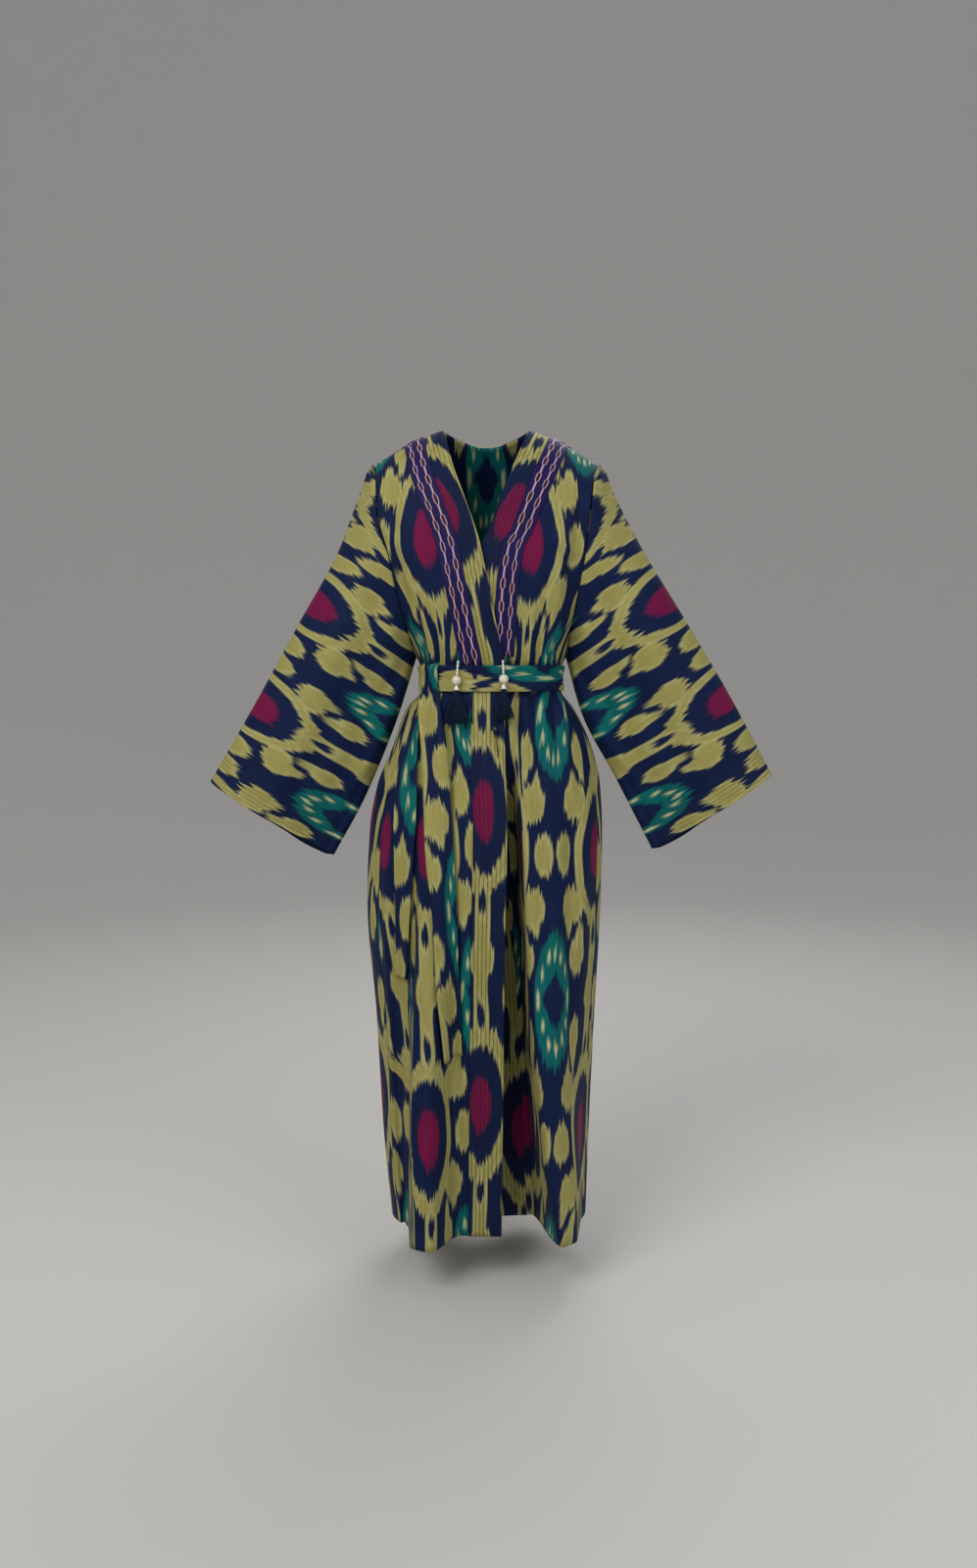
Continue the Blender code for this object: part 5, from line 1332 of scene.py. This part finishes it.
# ---------------------------------------------------------------- neck braid
# A violet-navy woven tape, half on the band and half on the cloth, from the belt up one front,
# round the neck and down the other. Two rows of pale links are worked along it, dark red inside.
TAPE_START = 0.034
TAPE_WIDTH = 0.034
TAPE_COLUMNS = 26
TAPE_MIDDLE = 12  # the column that its length is counted along
TAPE_NECK_COLUMNS = 97
NECK_TAPE = (2, 4)  # the rows of BACK_TOP at its edges behind the neck
TAPE_WALL = 0.0015
TAPE_STEPS_DOWN = 0.004  # the width over which it comes down from the band to the cloth
TAPE_END_Z = {"right": -0.3560, "left": -0.345}
LINK_ROWS = (0.0437, 0.0580)  # the middles of the link rows, from the free edge
LINK_PERIOD = 0.035
LINK_LENGTH = 0.0205
LINK_HALF_WIDTH = 0.0032
LINK_POINT = 0.0052  # the length of a link's pointed end
LINK_LINE = 0.00085
LINK_STAGGER = 0.22  # of a period, from row to row
BAR_APART = 0.0007
VIOLET = (0.0055, 0.0035, 0.0450, 1.0)
VIOLET_LIT = (0.0150, 0.0080, 0.0900, 1.0)
LILAC = (0.560, 0.420, 0.560, 1.0)
ROSE = (0.620, 0.400, 0.430, 1.0)
MAROON = (0.050, 0.010, 0.030, 1.0)


def braid_finish():
    """Close-woven braid with two rows of links. u is the distance from the free edge."""
    material, shader, wire = blank_material("link_braid")
    cloth = wire.node("UVMap", {"uv_map": "cloth"})
    split = cloth.node("SeparateXYZ", None, {0: cloth})
    v = Wire(wire.tree, split.socket.node.outputs[1])
    outline, inner = None, None
    for row, middle in enumerate(LINK_ROWS):
        off = wire.sum("ABSOLUTE", split - middle)
        at = wire.sum("FLOORED_MODULO", v + row * LINK_PERIOD * LINK_STAGGER, LINK_PERIOD)
        from_middle = wire.sum("ABSOLUTE", at - LINK_PERIOD / 2.0)
        near_end = (LINK_LENGTH / 2.0 - from_middle) / LINK_POINT
        width = near_end.clamped() * (LINK_HALF_WIDTH - BAR_APART) + BAR_APART
        line = 1.0 - wire.sum("ABSOLUTE", off - width) / LINK_LINE
        line = (line * 2.2).clamped()
        fill = ((width - off) / 0.0003).clamped() * (near_end * 3.0).clamped()
        outline = line if outline is None else outline.or_(line)
        inner = fill if inner is None else inner.or_(fill)
    grain = wire.noise(wire.place(split * 900.0, v * 500.0), detail=1.0)
    rib = wire.sum("SINE", v * 4200.0)
    shade = wire.noise(wire.place(split * 60.0, v * 14.0), detail=2.0)
    ground = wire.blend((shade * 0.8 + grain * 0.5 - 0.15).clamped(), VIOLET, VIOLET_LIT)
    pale = wire.blend(((shade - 0.35) * 3.0).clamped(), ROSE, LILAC)
    colour = wire.blend(inner, ground, MAROON)
    colour = wire.blend(outline * (grain * 0.5 + 0.65).clamped(), colour, pale)
    height = outline * 1.0 - inner * 0.3 + grain * 0.25 + rib * 0.10
    relief = wire.node("Bump", None, {"Strength": 0.5, "Distance": 0.0006, "Height": height})
    wired(wire, shader, colour, grain * 0.2 + 0.5, relief, Sheen_Weight=0.03, Specular_IOR_Level=0.15)
    return material


link_braid = braid_finish()
tape_marks = np.linspace(TAPE_START, TAPE_START + TAPE_WIDTH, TAPE_COLUMNS)
over_band = AIR + BAND_WALL + AIR
tape_lift = mix(over_band, AIR, ease((tape_marks - BAND_WIDTH) / TAPE_STEPS_DOWN))
for side in ("right", "left"):
    grid, marks = distances("front_" + side, tape_marks)
    tape_rows = sum(front_heights() >= TAPE_END_Z[side])
    grid, marks = grid[:tape_rows], marks[:tape_rows]
    shape = worn(grid, FORWARD, FRONT_CREASES, tape_lift[None, :])
    run = -along(grid[:, TAPE_MIDDLE])
    warp = np.repeat(run[:, None], TAPE_COLUMNS, axis=1)
    item = cloth_object("tape_" + side + "_braid", shape, marks, warp, FORWARD, TAPE_WALL, outside=True)
    finished(item, "braid", link_braid, "tape_" + side)
    "band_" + side + "_strip"

tape_top = np.linspace(back_share(NECK_TAPE[0]), back_share(NECK_TAPE[1]), TAPE_COLUMNS)
tape_grid = back_grid(TAPE_NECK_COLUMNS, tape_top, [])
tape_marks = np.repeat([tape_marks], TAPE_NECK_COLUMNS, axis=0).T
tape_warp = np.repeat([along(tape_grid[TAPE_COLUMNS // 2])], TAPE_COLUMNS, axis=0)
tape_shape = worn(tape_grid, BACKWARD, (), tape_lift[:, None])
item = cloth_object("tape_back_braid", tape_shape, tape_marks, tape_warp, BACKWARD, TAPE_WALL, outside=True)
finished(item, "braid", link_braid, "tape_back")

# ---------------------------------------------------------------- belt
# A long ikat sash folded to four centimetres, wound once round the waist and crossed in front, with
# its two ends falling over the skirt. It holds the gathers, and is held by its own turn.
BELT_WALL = 0.0022
BELT_COLUMNS = 241
BELT_ROWS = 19
BELT_CREASES = ((0.0, 0.0), (0.22, 0.0010), (0.45, 0.0001), (0.72, 0.0012), (1.0, 0.0))
BELT_TUCKS = (  # where round the belt, how high on it, how far they reach, how wide, how deep
    (0.0300, 0.30, 0.150, 0.0022, -0.0010), (-0.0500, 0.56, 0.070, 0.0020, -0.0012),
    (-0.0100, 0.44, 0.060, 0.0018, 0.0008), (0.0900, 0.62, 0.080, 0.0022, -0.0010),
    (0.2200, 0.35, 0.110, 0.0024, -0.0010), (0.3300, 0.60, 0.120, 0.0022, 0.0008),
    (-0.1800, 0.42, 0.100, 0.0022, -0.0010), (-0.2900, 0.66, 0.090, 0.0022, 0.0008),
)
TUCK_CLIMB = 0.12  # how far a tuck wanders up and down the belt, and how quickly
TUCK_TURNS = 9.0
BELT_RING_ROW = 0.098  # round the belt from the middle of the front to a ring row
BELT_TOP_ACROSS = 0.0840  # the belt's top edge, from a crimson axis
belt_ikat = ikat("belt_ikat", roughness=0.58)


def belt_points():
    """Rings of the belt round the waist, with its creases and tucks, and the run round it."""
    angles = np.linspace(0.0, 2.0 * math.pi, DENSE + 1)
    rows, runs = [], []
    for share in np.linspace(0.0, 1.0, BELT_ROWS):
        z = mix(BELT_TOP, BELT_BOTTOM, share)
        power = 2.0 / form["fullness"](z)
        c, s = np.cos(angles), np.sin(angles)
        x = -np.sign(c) * np.where(c > 0, form["right"](z), form["left"](z)) * np.abs(c) ** power
        y = -np.sign(s) * np.where(s > 0, form["front"](z), form["back"](z)) * np.abs(s) ** power
        ring = np.stack([x, y, np.full_like(x, z)], axis=1)
        run = along(ring)
        marks = np.linspace(0.0, run[-1], BELT_COLUMNS)
        points = picked(ring, run, marks)
        around = np.roll(points[:-1], -1, axis=0) - np.roll(points[:-1], 1, axis=0)
        around = np.vstack([around, around[:1]])
        out = np.stack([around[:, 1], -around[:, 0], np.zeros(len(points))], axis=1)
        out /= np.linalg.norm(out, axis=1)[:, None]
        out *= np.where(np.sum(out * points, axis=1) < 0, -1.0, 1.0)[:, None]
        middle = np.interp(math.pi / 2.0, angles, run)
        place = marks - middle
        place = (place + run[-1] / 2.0) % run[-1] - run[-1] / 2.0
        lift = BELT_LIFT + float(Track(*zip(*BELT_CREASES))(share))
        for tuck_at, tuck_high, reach, width, depth in BELT_TUCKS:
            climb = tuck_high + TUCK_CLIMB * np.sin((place - tuck_at) * TUCK_TURNS)
            off = (share - climb) * (BELT_TOP - BELT_BOTTOM)
            lift = lift + depth * np.exp(-((off / width) ** 2) - ((place - tuck_at) / reach) ** 2)
        rows.append(points + out * np.reshape(lift, (-1, 1)))
        runs.append(marks - middle)
    return np.array(rows), np.array(runs)


belt_grid, belt_run = belt_points()
belt_down = np.repeat(np.linspace(0.0, BELT_TOP - BELT_BOTTOM, BELT_ROWS)[:, None], BELT_COLUMNS, axis=1)
belt_warp = belt_run - BELT_RING_ROW + REPEAT_ALONG / 2.0
belt_cloth = cloth_object("belt_cloth", belt_grid, BELT_TOP_ACROSS - belt_down, belt_warp, FORWARD, BELT_WALL,
                          closed=True, outside=True)
finished(belt_cloth, "belt_cotton", belt_ikat, "belt")

# The belt's ends: a row of heights with both edges and the gap to the robe's surface. The front end
# comes over the belt's top edge; the side end comes out below the belt.
EndRow = namedtuple("EndRow", "z left right lift")
BELT_ENDS = {
    "belt_end_front": (
        EndRow(-0.3495, -0.0985, -0.0720, 0.0036), EndRow(-0.3515, -0.0985, -0.0720, 0.0062),
        EndRow(-0.3560, -0.0985, -0.0720, 0.0080), EndRow(-0.3985, -0.0985, -0.0695, 0.0088),
        EndRow(-0.4660, -0.0990, -0.0622, 0.0088), EndRow(-0.5310, -0.0962, -0.0570, 0.0080),
        EndRow(-0.6250, -0.0925, -0.0518, 0.0080), EndRow(-0.7320, -0.0845, -0.0455, 0.0075),
        EndRow(-0.8400, -0.0810, -0.0420, 0.0070), EndRow(-0.9650, -0.0712, -0.0373, 0.0065),
    ),
    "belt_end_side": (
        EndRow(-0.3960, -0.1000, -0.0860, 0.0016), EndRow(-0.4300, -0.1170, -0.0960, 0.0018),
        EndRow(-0.4700, -0.1310, -0.1030, 0.0030), EndRow(-0.5600, -0.1400, -0.1060, 0.0040),
        EndRow(-0.6600, -0.1420, -0.1120, 0.0050), EndRow(-0.7600, -0.1420, -0.1180, 0.0060),
        EndRow(-0.8450, -0.1440, -0.1210, 0.0060),
    ),
}
END_SLANT = {"belt_end_front": 0.007, "belt_end_side": 0.0}
SLANT_FROM = (-0.80, 0.16)
END_COLUMNS = 15
END_ROWS = 96
# For each end: the height of a crimson row, the left edge's distance from a crimson axis, and the
# cloth's width there.
EndCut = namedtuple("EndCut", "crimson_z left_across width length")
END_CUTS = {
    "belt_end_front": EndCut(-0.512, 0.0435, 0.0395, 0.63),
    "belt_end_side": EndCut(-0.7485, 0.0520, 0.0300, 0.46),
}
END_RIPPLE = 0.0011  # how far the ends' edges curl, one out as the other goes in
RIPPLE_TURNS = 21.0
RIPPLE_FROM = 0.1  # below an end's top
END_ROWS_CROWD = 0.15


def off_surface(panel, x, z, lift):
    """A point that stands off the panel's outside face by lift, square to it."""
    step = 0.002
    here = float(surface_y(panel, np.array([x]), np.array([z]))[0])
    ahead_x = float(surface_y(panel, np.array([x + step]), np.array([z]))[0])
    ahead_z = float(surface_y(panel, np.array([x]), np.array([z + step]))[0])
    normal = Vector(((ahead_x - here) / step, -1.0, (ahead_z - here) / step)).normalized()
    return Vector((x, here, z)) + normal * lift


def off_cloth(x, z, lift):
    """A point that stands off the right front's creased cloth by lift."""
    rise = float(crease_height(FRONT_CREASES, np.array([x]), np.array([z]))[0])
    return off_surface("front_right", x, z, lift + rise)


for name, cut in END_CUTS.items():
    size = tracks(BELT_ENDS[name])
    first, last = BELT_ENDS[name][0].z, BELT_ENDS[name][-1].z
    share = np.linspace(0, 1, END_ROWS)
    heights = mix(first, last, END_ROWS_CROWD * share ** 3 + (1.0 - END_ROWS_CROWD) * share)
    grid = []
    for z_row in heights:
        row = []
        for share in np.linspace(0.0, 1.0, END_COLUMNS):
            x = float(mix(size["left"](z_row), size["right"](z_row), share))
            slant = END_SLANT[name] * ease((SLANT_FROM[0] - z_row) / SLANT_FROM[1])
            z = float(z_row - slant * (0.5 - share))
            curl = END_RIPPLE * (2.0 * share - 1.0) * math.sin(z_row * RIPPLE_TURNS)
            curl = curl * ease((first - z_row) / RIPPLE_FROM)
            row.append(off_cloth(x, z, float(size["lift"](z_row)) + curl))
        grid.append(row)
    grid = np.array(grid)
    run = along(grid[:, END_COLUMNS // 2])
    crimson = float(np.interp(-cut.crimson_z, -heights, run))
    across = np.repeat([cut.left_across + np.linspace(0.0, cut.width, END_COLUMNS)], END_ROWS, axis=0)
    warp = np.repeat((crimson - run)[:, None], END_COLUMNS, axis=1)
    item = cloth_object(name + "_cloth", grid, across, warp, FORWARD, BELT_WALL, outside=True)
    finished(item, "belt_cotton", belt_ikat, name)

# ---------------------------------------------------------------- tassels
# A string of small white beads, a cream bead, a flared white cap and a thick fringe of teal-navy
# thread, hung from the end of the braid on each side.
Tassel = namedtuple("Tassel", "side x top bead end spread")
TASSELS = (
    Tassel("right", -0.0425, -0.3430, -0.3761, -0.4440, 0.0225),
    Tassel("left", 0.0250, -0.3430, -0.3738, -0.4385, 0.0180),
)
SMALL_BEADS = 4
SMALL_BEAD_RADIUS = 0.0018
BEAD_WAIST = 0.45
BIG_BEAD_RADIUS = 0.0075
CAP_LENGTH = 0.0072
HEAD_LENGTH = 0.0050
HEAD_RADIUS = 0.0046
HEAD_STEPS = 12
HEAD_GROOVE = 0.12  # between its windings, as a share of its radius
BEAD_HOLE = 0.0004
BEAD_STEPS = 10
BEAD_FULLNESS = 0.8
BIG_BEAD_HOLE = 0.0009
STRANDS = 125
GOLDEN_TURN = 2.399963  # from strand to strand, so that they fill the head evenly
STRAND_ROOT = 0.0012  # how far a strand begins up inside the head
STRAND_WAVE = 0.0012
STRAND_UNEVEN = 0.0055  # between the longest strands and the shortest
STRAND_TAPER = 0.35
STRAND_RADIUS = 0.00048
STRAND_POINTS = 9
STRAND_SIDES = 4
FRINGE_DEPTH = 0.0050
FRINGE_AIR = 0.0012
SPREAD_POWER = 1.05
CAP_PROFILE = ((0.0006, 0.0), (0.0022, 0.02), (0.0026, 0.28), (0.0032, 0.58), (0.0044, 0.84),
               (0.0051, 0.96), (0.0050, 1.0), (0.0044, 0.97), (0.0020, 0.60), (0.0006, 0.55))


def from_faces(name, bm):
    """A linked object from finished faces, turned outward."""
    bmesh.ops.recalc_face_normals(bm, faces=bm.faces)
    mesh = bpy.data.meshes.new(name)
    bm.to_mesh(mesh)
    bm.free()
    return in_scene(name, mesh)


def skin(bm, rings):
    """Faces between neighbouring rings of points."""
    for upper, lower in zip(rings, rings[1:]):
        for k in range(len(upper)):
            n = (k + 1) % len(upper)
            bm.faces.new((upper[k], lower[k], lower[n], upper[n]))


def ball_profile(radius, hole, end, steps):
    """One round ball, open by its drilled hole at both ends."""
    middle = [(radius * math.sin(math.pi * k / steps), (1.0 - math.cos(math.pi * k / steps)) / 2.0)
              for k in range(2, steps - 1)]
    return [(hole, end), *middle, (hole, 1.0 - end)]


def turned(name, profile, axis_from, axis_to, sides):
    """A closed ring-shaped piece turned on the line between two points."""
    start, end = Vector(axis_from), Vector(axis_to)
    turn = Vector((0, 0, -1)).rotation_difference(end - start).to_matrix()
    length = (end - start).length
    bm = bmesh.new()
    rings = []
    for radius, share in profile:
        angles = [2.0 * math.pi * k / sides for k in range(sides)]
        rings.append([
            bm.verts.new(start + turn @ Vector((radius * math.cos(a), radius * math.sin(a), -share * length)))
            for a in angles])
    skin(bm, rings + rings[:1])
    item = from_faces(name, bm)
    item.data.shade_smooth()
    return item


def bead_profile():
    """Small round beads on one thread, drilled through."""
    profile = [(BEAD_HOLE, 0.0)]
    for bead in range(SMALL_BEADS):
        for k in range(BEAD_STEPS + 1):
            swell = math.sin(math.pi * k / BEAD_STEPS) ** BEAD_FULLNESS
            if k or not bead:
                radius = SMALL_BEAD_RADIUS * mix(BEAD_WAIST, 1.0, swell)
                profile.append((radius, (bead + k / BEAD_STEPS) / SMALL_BEADS))
    return profile + [(BEAD_HOLE, 1.0)]


def bead_finish(name, dark, light, roughness):
    """Glazed bead with faint clouds and fine scratches in its gloss."""
    material, shader, wire = blank_material(name)
    place = wire.node("TexCoord", out=3)
    cloud = wire.node("TexNoise", None, {"Vector": place, "Scale": 420.0, "Detail": 4.0})
    fine = wire.node("TexNoise", None, {"Vector": place, "Scale": 1900.0, "Detail": 2.0})
    colour = wire.blend(((cloud - 0.5) * 2.4 + 0.6).clamped(), dark, light)
    relief = wire.node("Bump", None, {"Strength": 0.15, "Distance": 0.0002, "Height": cloud + fine * 0.4})
    rough = fine * 0.25 + (roughness - 0.1)
    wired(wire, shader, colour, rough, relief, Coat_Weight=0.35, Coat_Roughness=0.15)
    return material


def fringe(name, head_end, tassel, fringe_y):
    """Waved strands from inside the head to the tassel's uneven ends."""
    chance = random.Random(7 if tassel.side == "right" else 11)
    bm = bmesh.new()
    for k in range(STRANDS):
        share = math.sqrt((k + 0.5) / STRANDS)
        turn = k * GOLDEN_TURN
        across, depth = share * math.cos(turn), share * math.sin(turn)
        root = Vector((across, depth, 0.0)) * (HEAD_RADIUS - STRAND_RADIUS * 1.5)
        drop = head_end.z - tassel.end - chance.uniform(0.0, STRAND_UNEVEN) * (0.5 + abs(across))
        end_x = across * (tassel.spread - STRAND_RADIUS) + chance.uniform(-0.0009, 0.0009)
        end_y = depth * FRINGE_DEPTH + fringe_y - head_end.y
        sway, beat = chance.uniform(-STRAND_WAVE, STRAND_WAVE), chance.uniform(3.0, 7.0)
        rings = []
        for point in range(STRAND_POINTS):
            at = point / (STRAND_POINTS - 1)
            out = at ** SPREAD_POWER
            x = head_end.x + mix(root.x, end_x, out) + sway * math.sin(at * beat) * at
            y = head_end.y + mix(root.y, end_y, out) + 0.0007 * math.sin(at * beat + k) * at
            z = head_end.z + STRAND_ROOT - at * (drop + STRAND_ROOT)
            radius = STRAND_RADIUS * (1.0 - STRAND_TAPER * at ** 6)
            rings.append([
                bm.verts.new((x + radius * math.cos(a), y + radius * math.sin(a), z))
                for a in (2.0 * math.pi * s / STRAND_SIDES for s in range(STRAND_SIDES))])
        bm.faces.new(rings[0])
        bm.faces.new(rings[-1][::-1])
        skin(bm, rings)
    item = from_faces(name, bm)
    item.data.shade_smooth()
    return item


white_glaze = bead_finish("white_bead_glaze", (0.66, 0.66, 0.62, 1.0), (0.84, 0.84, 0.81, 1.0), 0.24)
cream_glaze = bead_finish("cream_bead_glaze", (0.62, 0.55, 0.40, 1.0), (0.80, 0.76, 0.62, 1.0), 0.34)
fringe_thread = thread_finish(
    "fringe_thread", (0.0010, 0.0060, 0.0240, 1.0), (0.0030, 0.0170, 0.0520, 1.0), 0.6)
for tassel in TASSELS:
    lift = BELT_LIFT + BELT_WALL + AIR + BIG_BEAD_RADIUS
    bead = off_surface("form", tassel.x, tassel.bead, lift)
    face = (2 if tassel.side == "right" else 1) * (AIR + BAND_WALL) + 2.0 * AIR
    top = off_cloth(tassel.x, tassel.top, face + SMALL_BEAD_RADIUS)
    last = bead - (bead - top).normalized() * (BIG_BEAD_RADIUS + AIR)
    down = Vector((0.0, 0.0, -1.0))
    string = turned("beads_" + tassel.side, bead_profile(), top, last, 20)
    finished(string, "bead_white", white_glaze, "bead_string_" + tassel.side)
    bead_top = bead - down * BIG_BEAD_RADIUS
    big = turned("big_bead_" + tassel.side, ball_profile(BIG_BEAD_RADIUS, BIG_BEAD_HOLE, 0.015, 24),
                 bead_top, bead + down * BIG_BEAD_RADIUS, 32)
    finished(big, "bead_cream", cream_glaze, "bead_" + tassel.side)
    cap_top = bead + down * (BIG_BEAD_RADIUS + AIR)
    cap_end = cap_top + down * CAP_LENGTH
    cap = turned("flared_cap_" + tassel.side, CAP_PROFILE, cap_top, cap_end, 24)
    finished(cap, "bead_white", white_glaze, "bead_cap_" + tassel.side)
    head_end = cap_end + down * (AIR + HEAD_LENGTH)
    places = [tassel.x + way * tassel.spread for way in (-1.0, -0.5, 0.0, 0.5, 1.0)]
    rest = min(off_cloth(x, tassel.end, face + FRINGE_AIR).y for x in places)
    strands = fringe("fringe_" + tassel.side, head_end, tassel, rest - FRINGE_DEPTH)
    finished(strands, "thread", fringe_thread, "tassel_" + tassel.side)
    windings = [(HEAD_RADIUS * (1.0 - (k % 2) * HEAD_GROOVE), 0.06 + 0.88 * k / HEAD_STEPS)
                for k in range(HEAD_STEPS + 1)]
    head = turned("fringe_head_" + tassel.side, windings + [(0.0006, 1.0), (0.0006, 0.0)],
                  cap_end + down * AIR, head_end, 24)
    finished(head, "thread", fringe_thread)

# ---------------------------------------------------------------- braid tail
# The braid's narrow edging comes down over the belt between the tassels as a thin violet-navy V.
# It is sewn at both ends, so it is a fixed piece and no free cord.
TailPoint = namedtuple("TailPoint", "x y z")
TAIL_PATH = (
    TailPoint(-0.0243, -0.1110, -0.3365), TailPoint(-0.0233, -0.1086, -0.3525),
    TailPoint(-0.0228, -0.1057, -0.3605), TailPoint(-0.0182, -0.1036, -0.3748),
    TailPoint(-0.0129, -0.1075, -0.3575), TailPoint(-0.0109, -0.1103, -0.3425),
)
TAIL_HALF_WIDTH = 0.0014
TAIL_HALF_WALL = 0.0006
TAIL_ROUNDS = 3  # how often the path's corners are softened
TAIL_ROWS = 41
tail_knots = np.array(TAIL_PATH)
tail_run = along(tail_knots)
tail_marks = np.linspace(0.0, tail_run[-1], TAIL_ROWS)
tail_line = picked(tail_knots, tail_run, tail_marks)
for _ in range(TAIL_ROUNDS):
    tail_line[1:-1] = (tail_line[:-2] + 2.0 * tail_line[1:-1] + tail_line[2:]) / 4.0
tail_way = np.gradient(tail_line, axis=0)
tail_side = np.stack([tail_way[:, 2], np.zeros(TAIL_ROWS), -tail_way[:, 0]], axis=1)
tail_side /= np.linalg.norm(tail_side, axis=1)[:, None]
bm = bmesh.new()
rings = []
for point, side in zip(tail_line, tail_side):
    corners = ((-1.0, -1.0), (1.0, -1.0), (1.0, 1.0), (-1.0, 1.0))
    rings.append([
        bm.verts.new(point + side * TAIL_HALF_WIDTH * across + np.array((0.0, TAIL_HALF_WALL * depth, 0.0)))
        for across, depth in corners])
skin(bm, rings)
bm.faces.new(rings[0])
bm.faces.new(rings[-1][::-1])
braid_tail = from_faces("braid_tail", bm)
finished(braid_tail, "braid", thread_finish("tail_thread", VIOLET, VIOLET_LIT, 0.65))

# ---------------------------------------------------------------- button
# A small glossy black ball on the right front's band, and the thin black loop cord below it.
BUTTON_AT = (0.0127, -0.4524)
BUTTON_RADIUS = 0.0045
BUTTON_HOLE = 0.0007
LOOP_RADIUS = 0.0007
LOOP_END = (0.0176, -0.4950)
LOOP_POINTS = 19
LOOP_BOW = 0.0012
JET = (0.006, 0.006, 0.008, 1.0)
JET_WORN = (0.020, 0.020, 0.024, 1.0)
jet = bead_finish("jet_button", JET, JET_WORN, 0.14)
on_band = AIR + BAND_WALL + AIR
button_at = off_cloth(*BUTTON_AT, on_band + BUTTON_RADIUS)
button_reach = Vector((0.0, 0.0, BUTTON_RADIUS))
button = turned("ball_button", ball_profile(BUTTON_RADIUS, BUTTON_HOLE, 0.02, 20),
                button_at + button_reach, button_at - button_reach, 28)
finished(button, "button_black", jet, "button")
loop_points = []
for k in range(LOOP_POINTS):
    share = k / (LOOP_POINTS - 1)
    x = mix(button_at.x, LOOP_END[0], share) + LOOP_BOW * math.sin(math.pi * share)
    z = mix(button_at.z - BUTTON_RADIUS - AIR, LOOP_END[1], share)
    rest = off_cloth(x, z, on_band + LOOP_RADIUS + AIR)
    loop_points.append(Vector((x, mix(button_at.y, rest.y, float(ease(share * 2.0))), z)))
loop_curve = bpy.data.curves.new("loop_cord", "CURVE")
loop_curve.dimensions = "3D"
loop_curve.bevel_depth = LOOP_RADIUS
loop_curve.bevel_resolution = 3
loop_curve.use_fill_caps = True
loop_spline = loop_curve.splines.new("POLY")
loop_spline.points.add(LOOP_POINTS - 1)
for slot, point in zip(loop_spline.points, loop_points):
    slot.co = (*point, 1.0)
loop_cord = in_scene("loop_cord", loop_curve)
loop_thread = thread_finish("loop_thread", JET, JET_WORN, 0.6)
finished(loop_cord, "button_black", loop_thread, "button_loop")
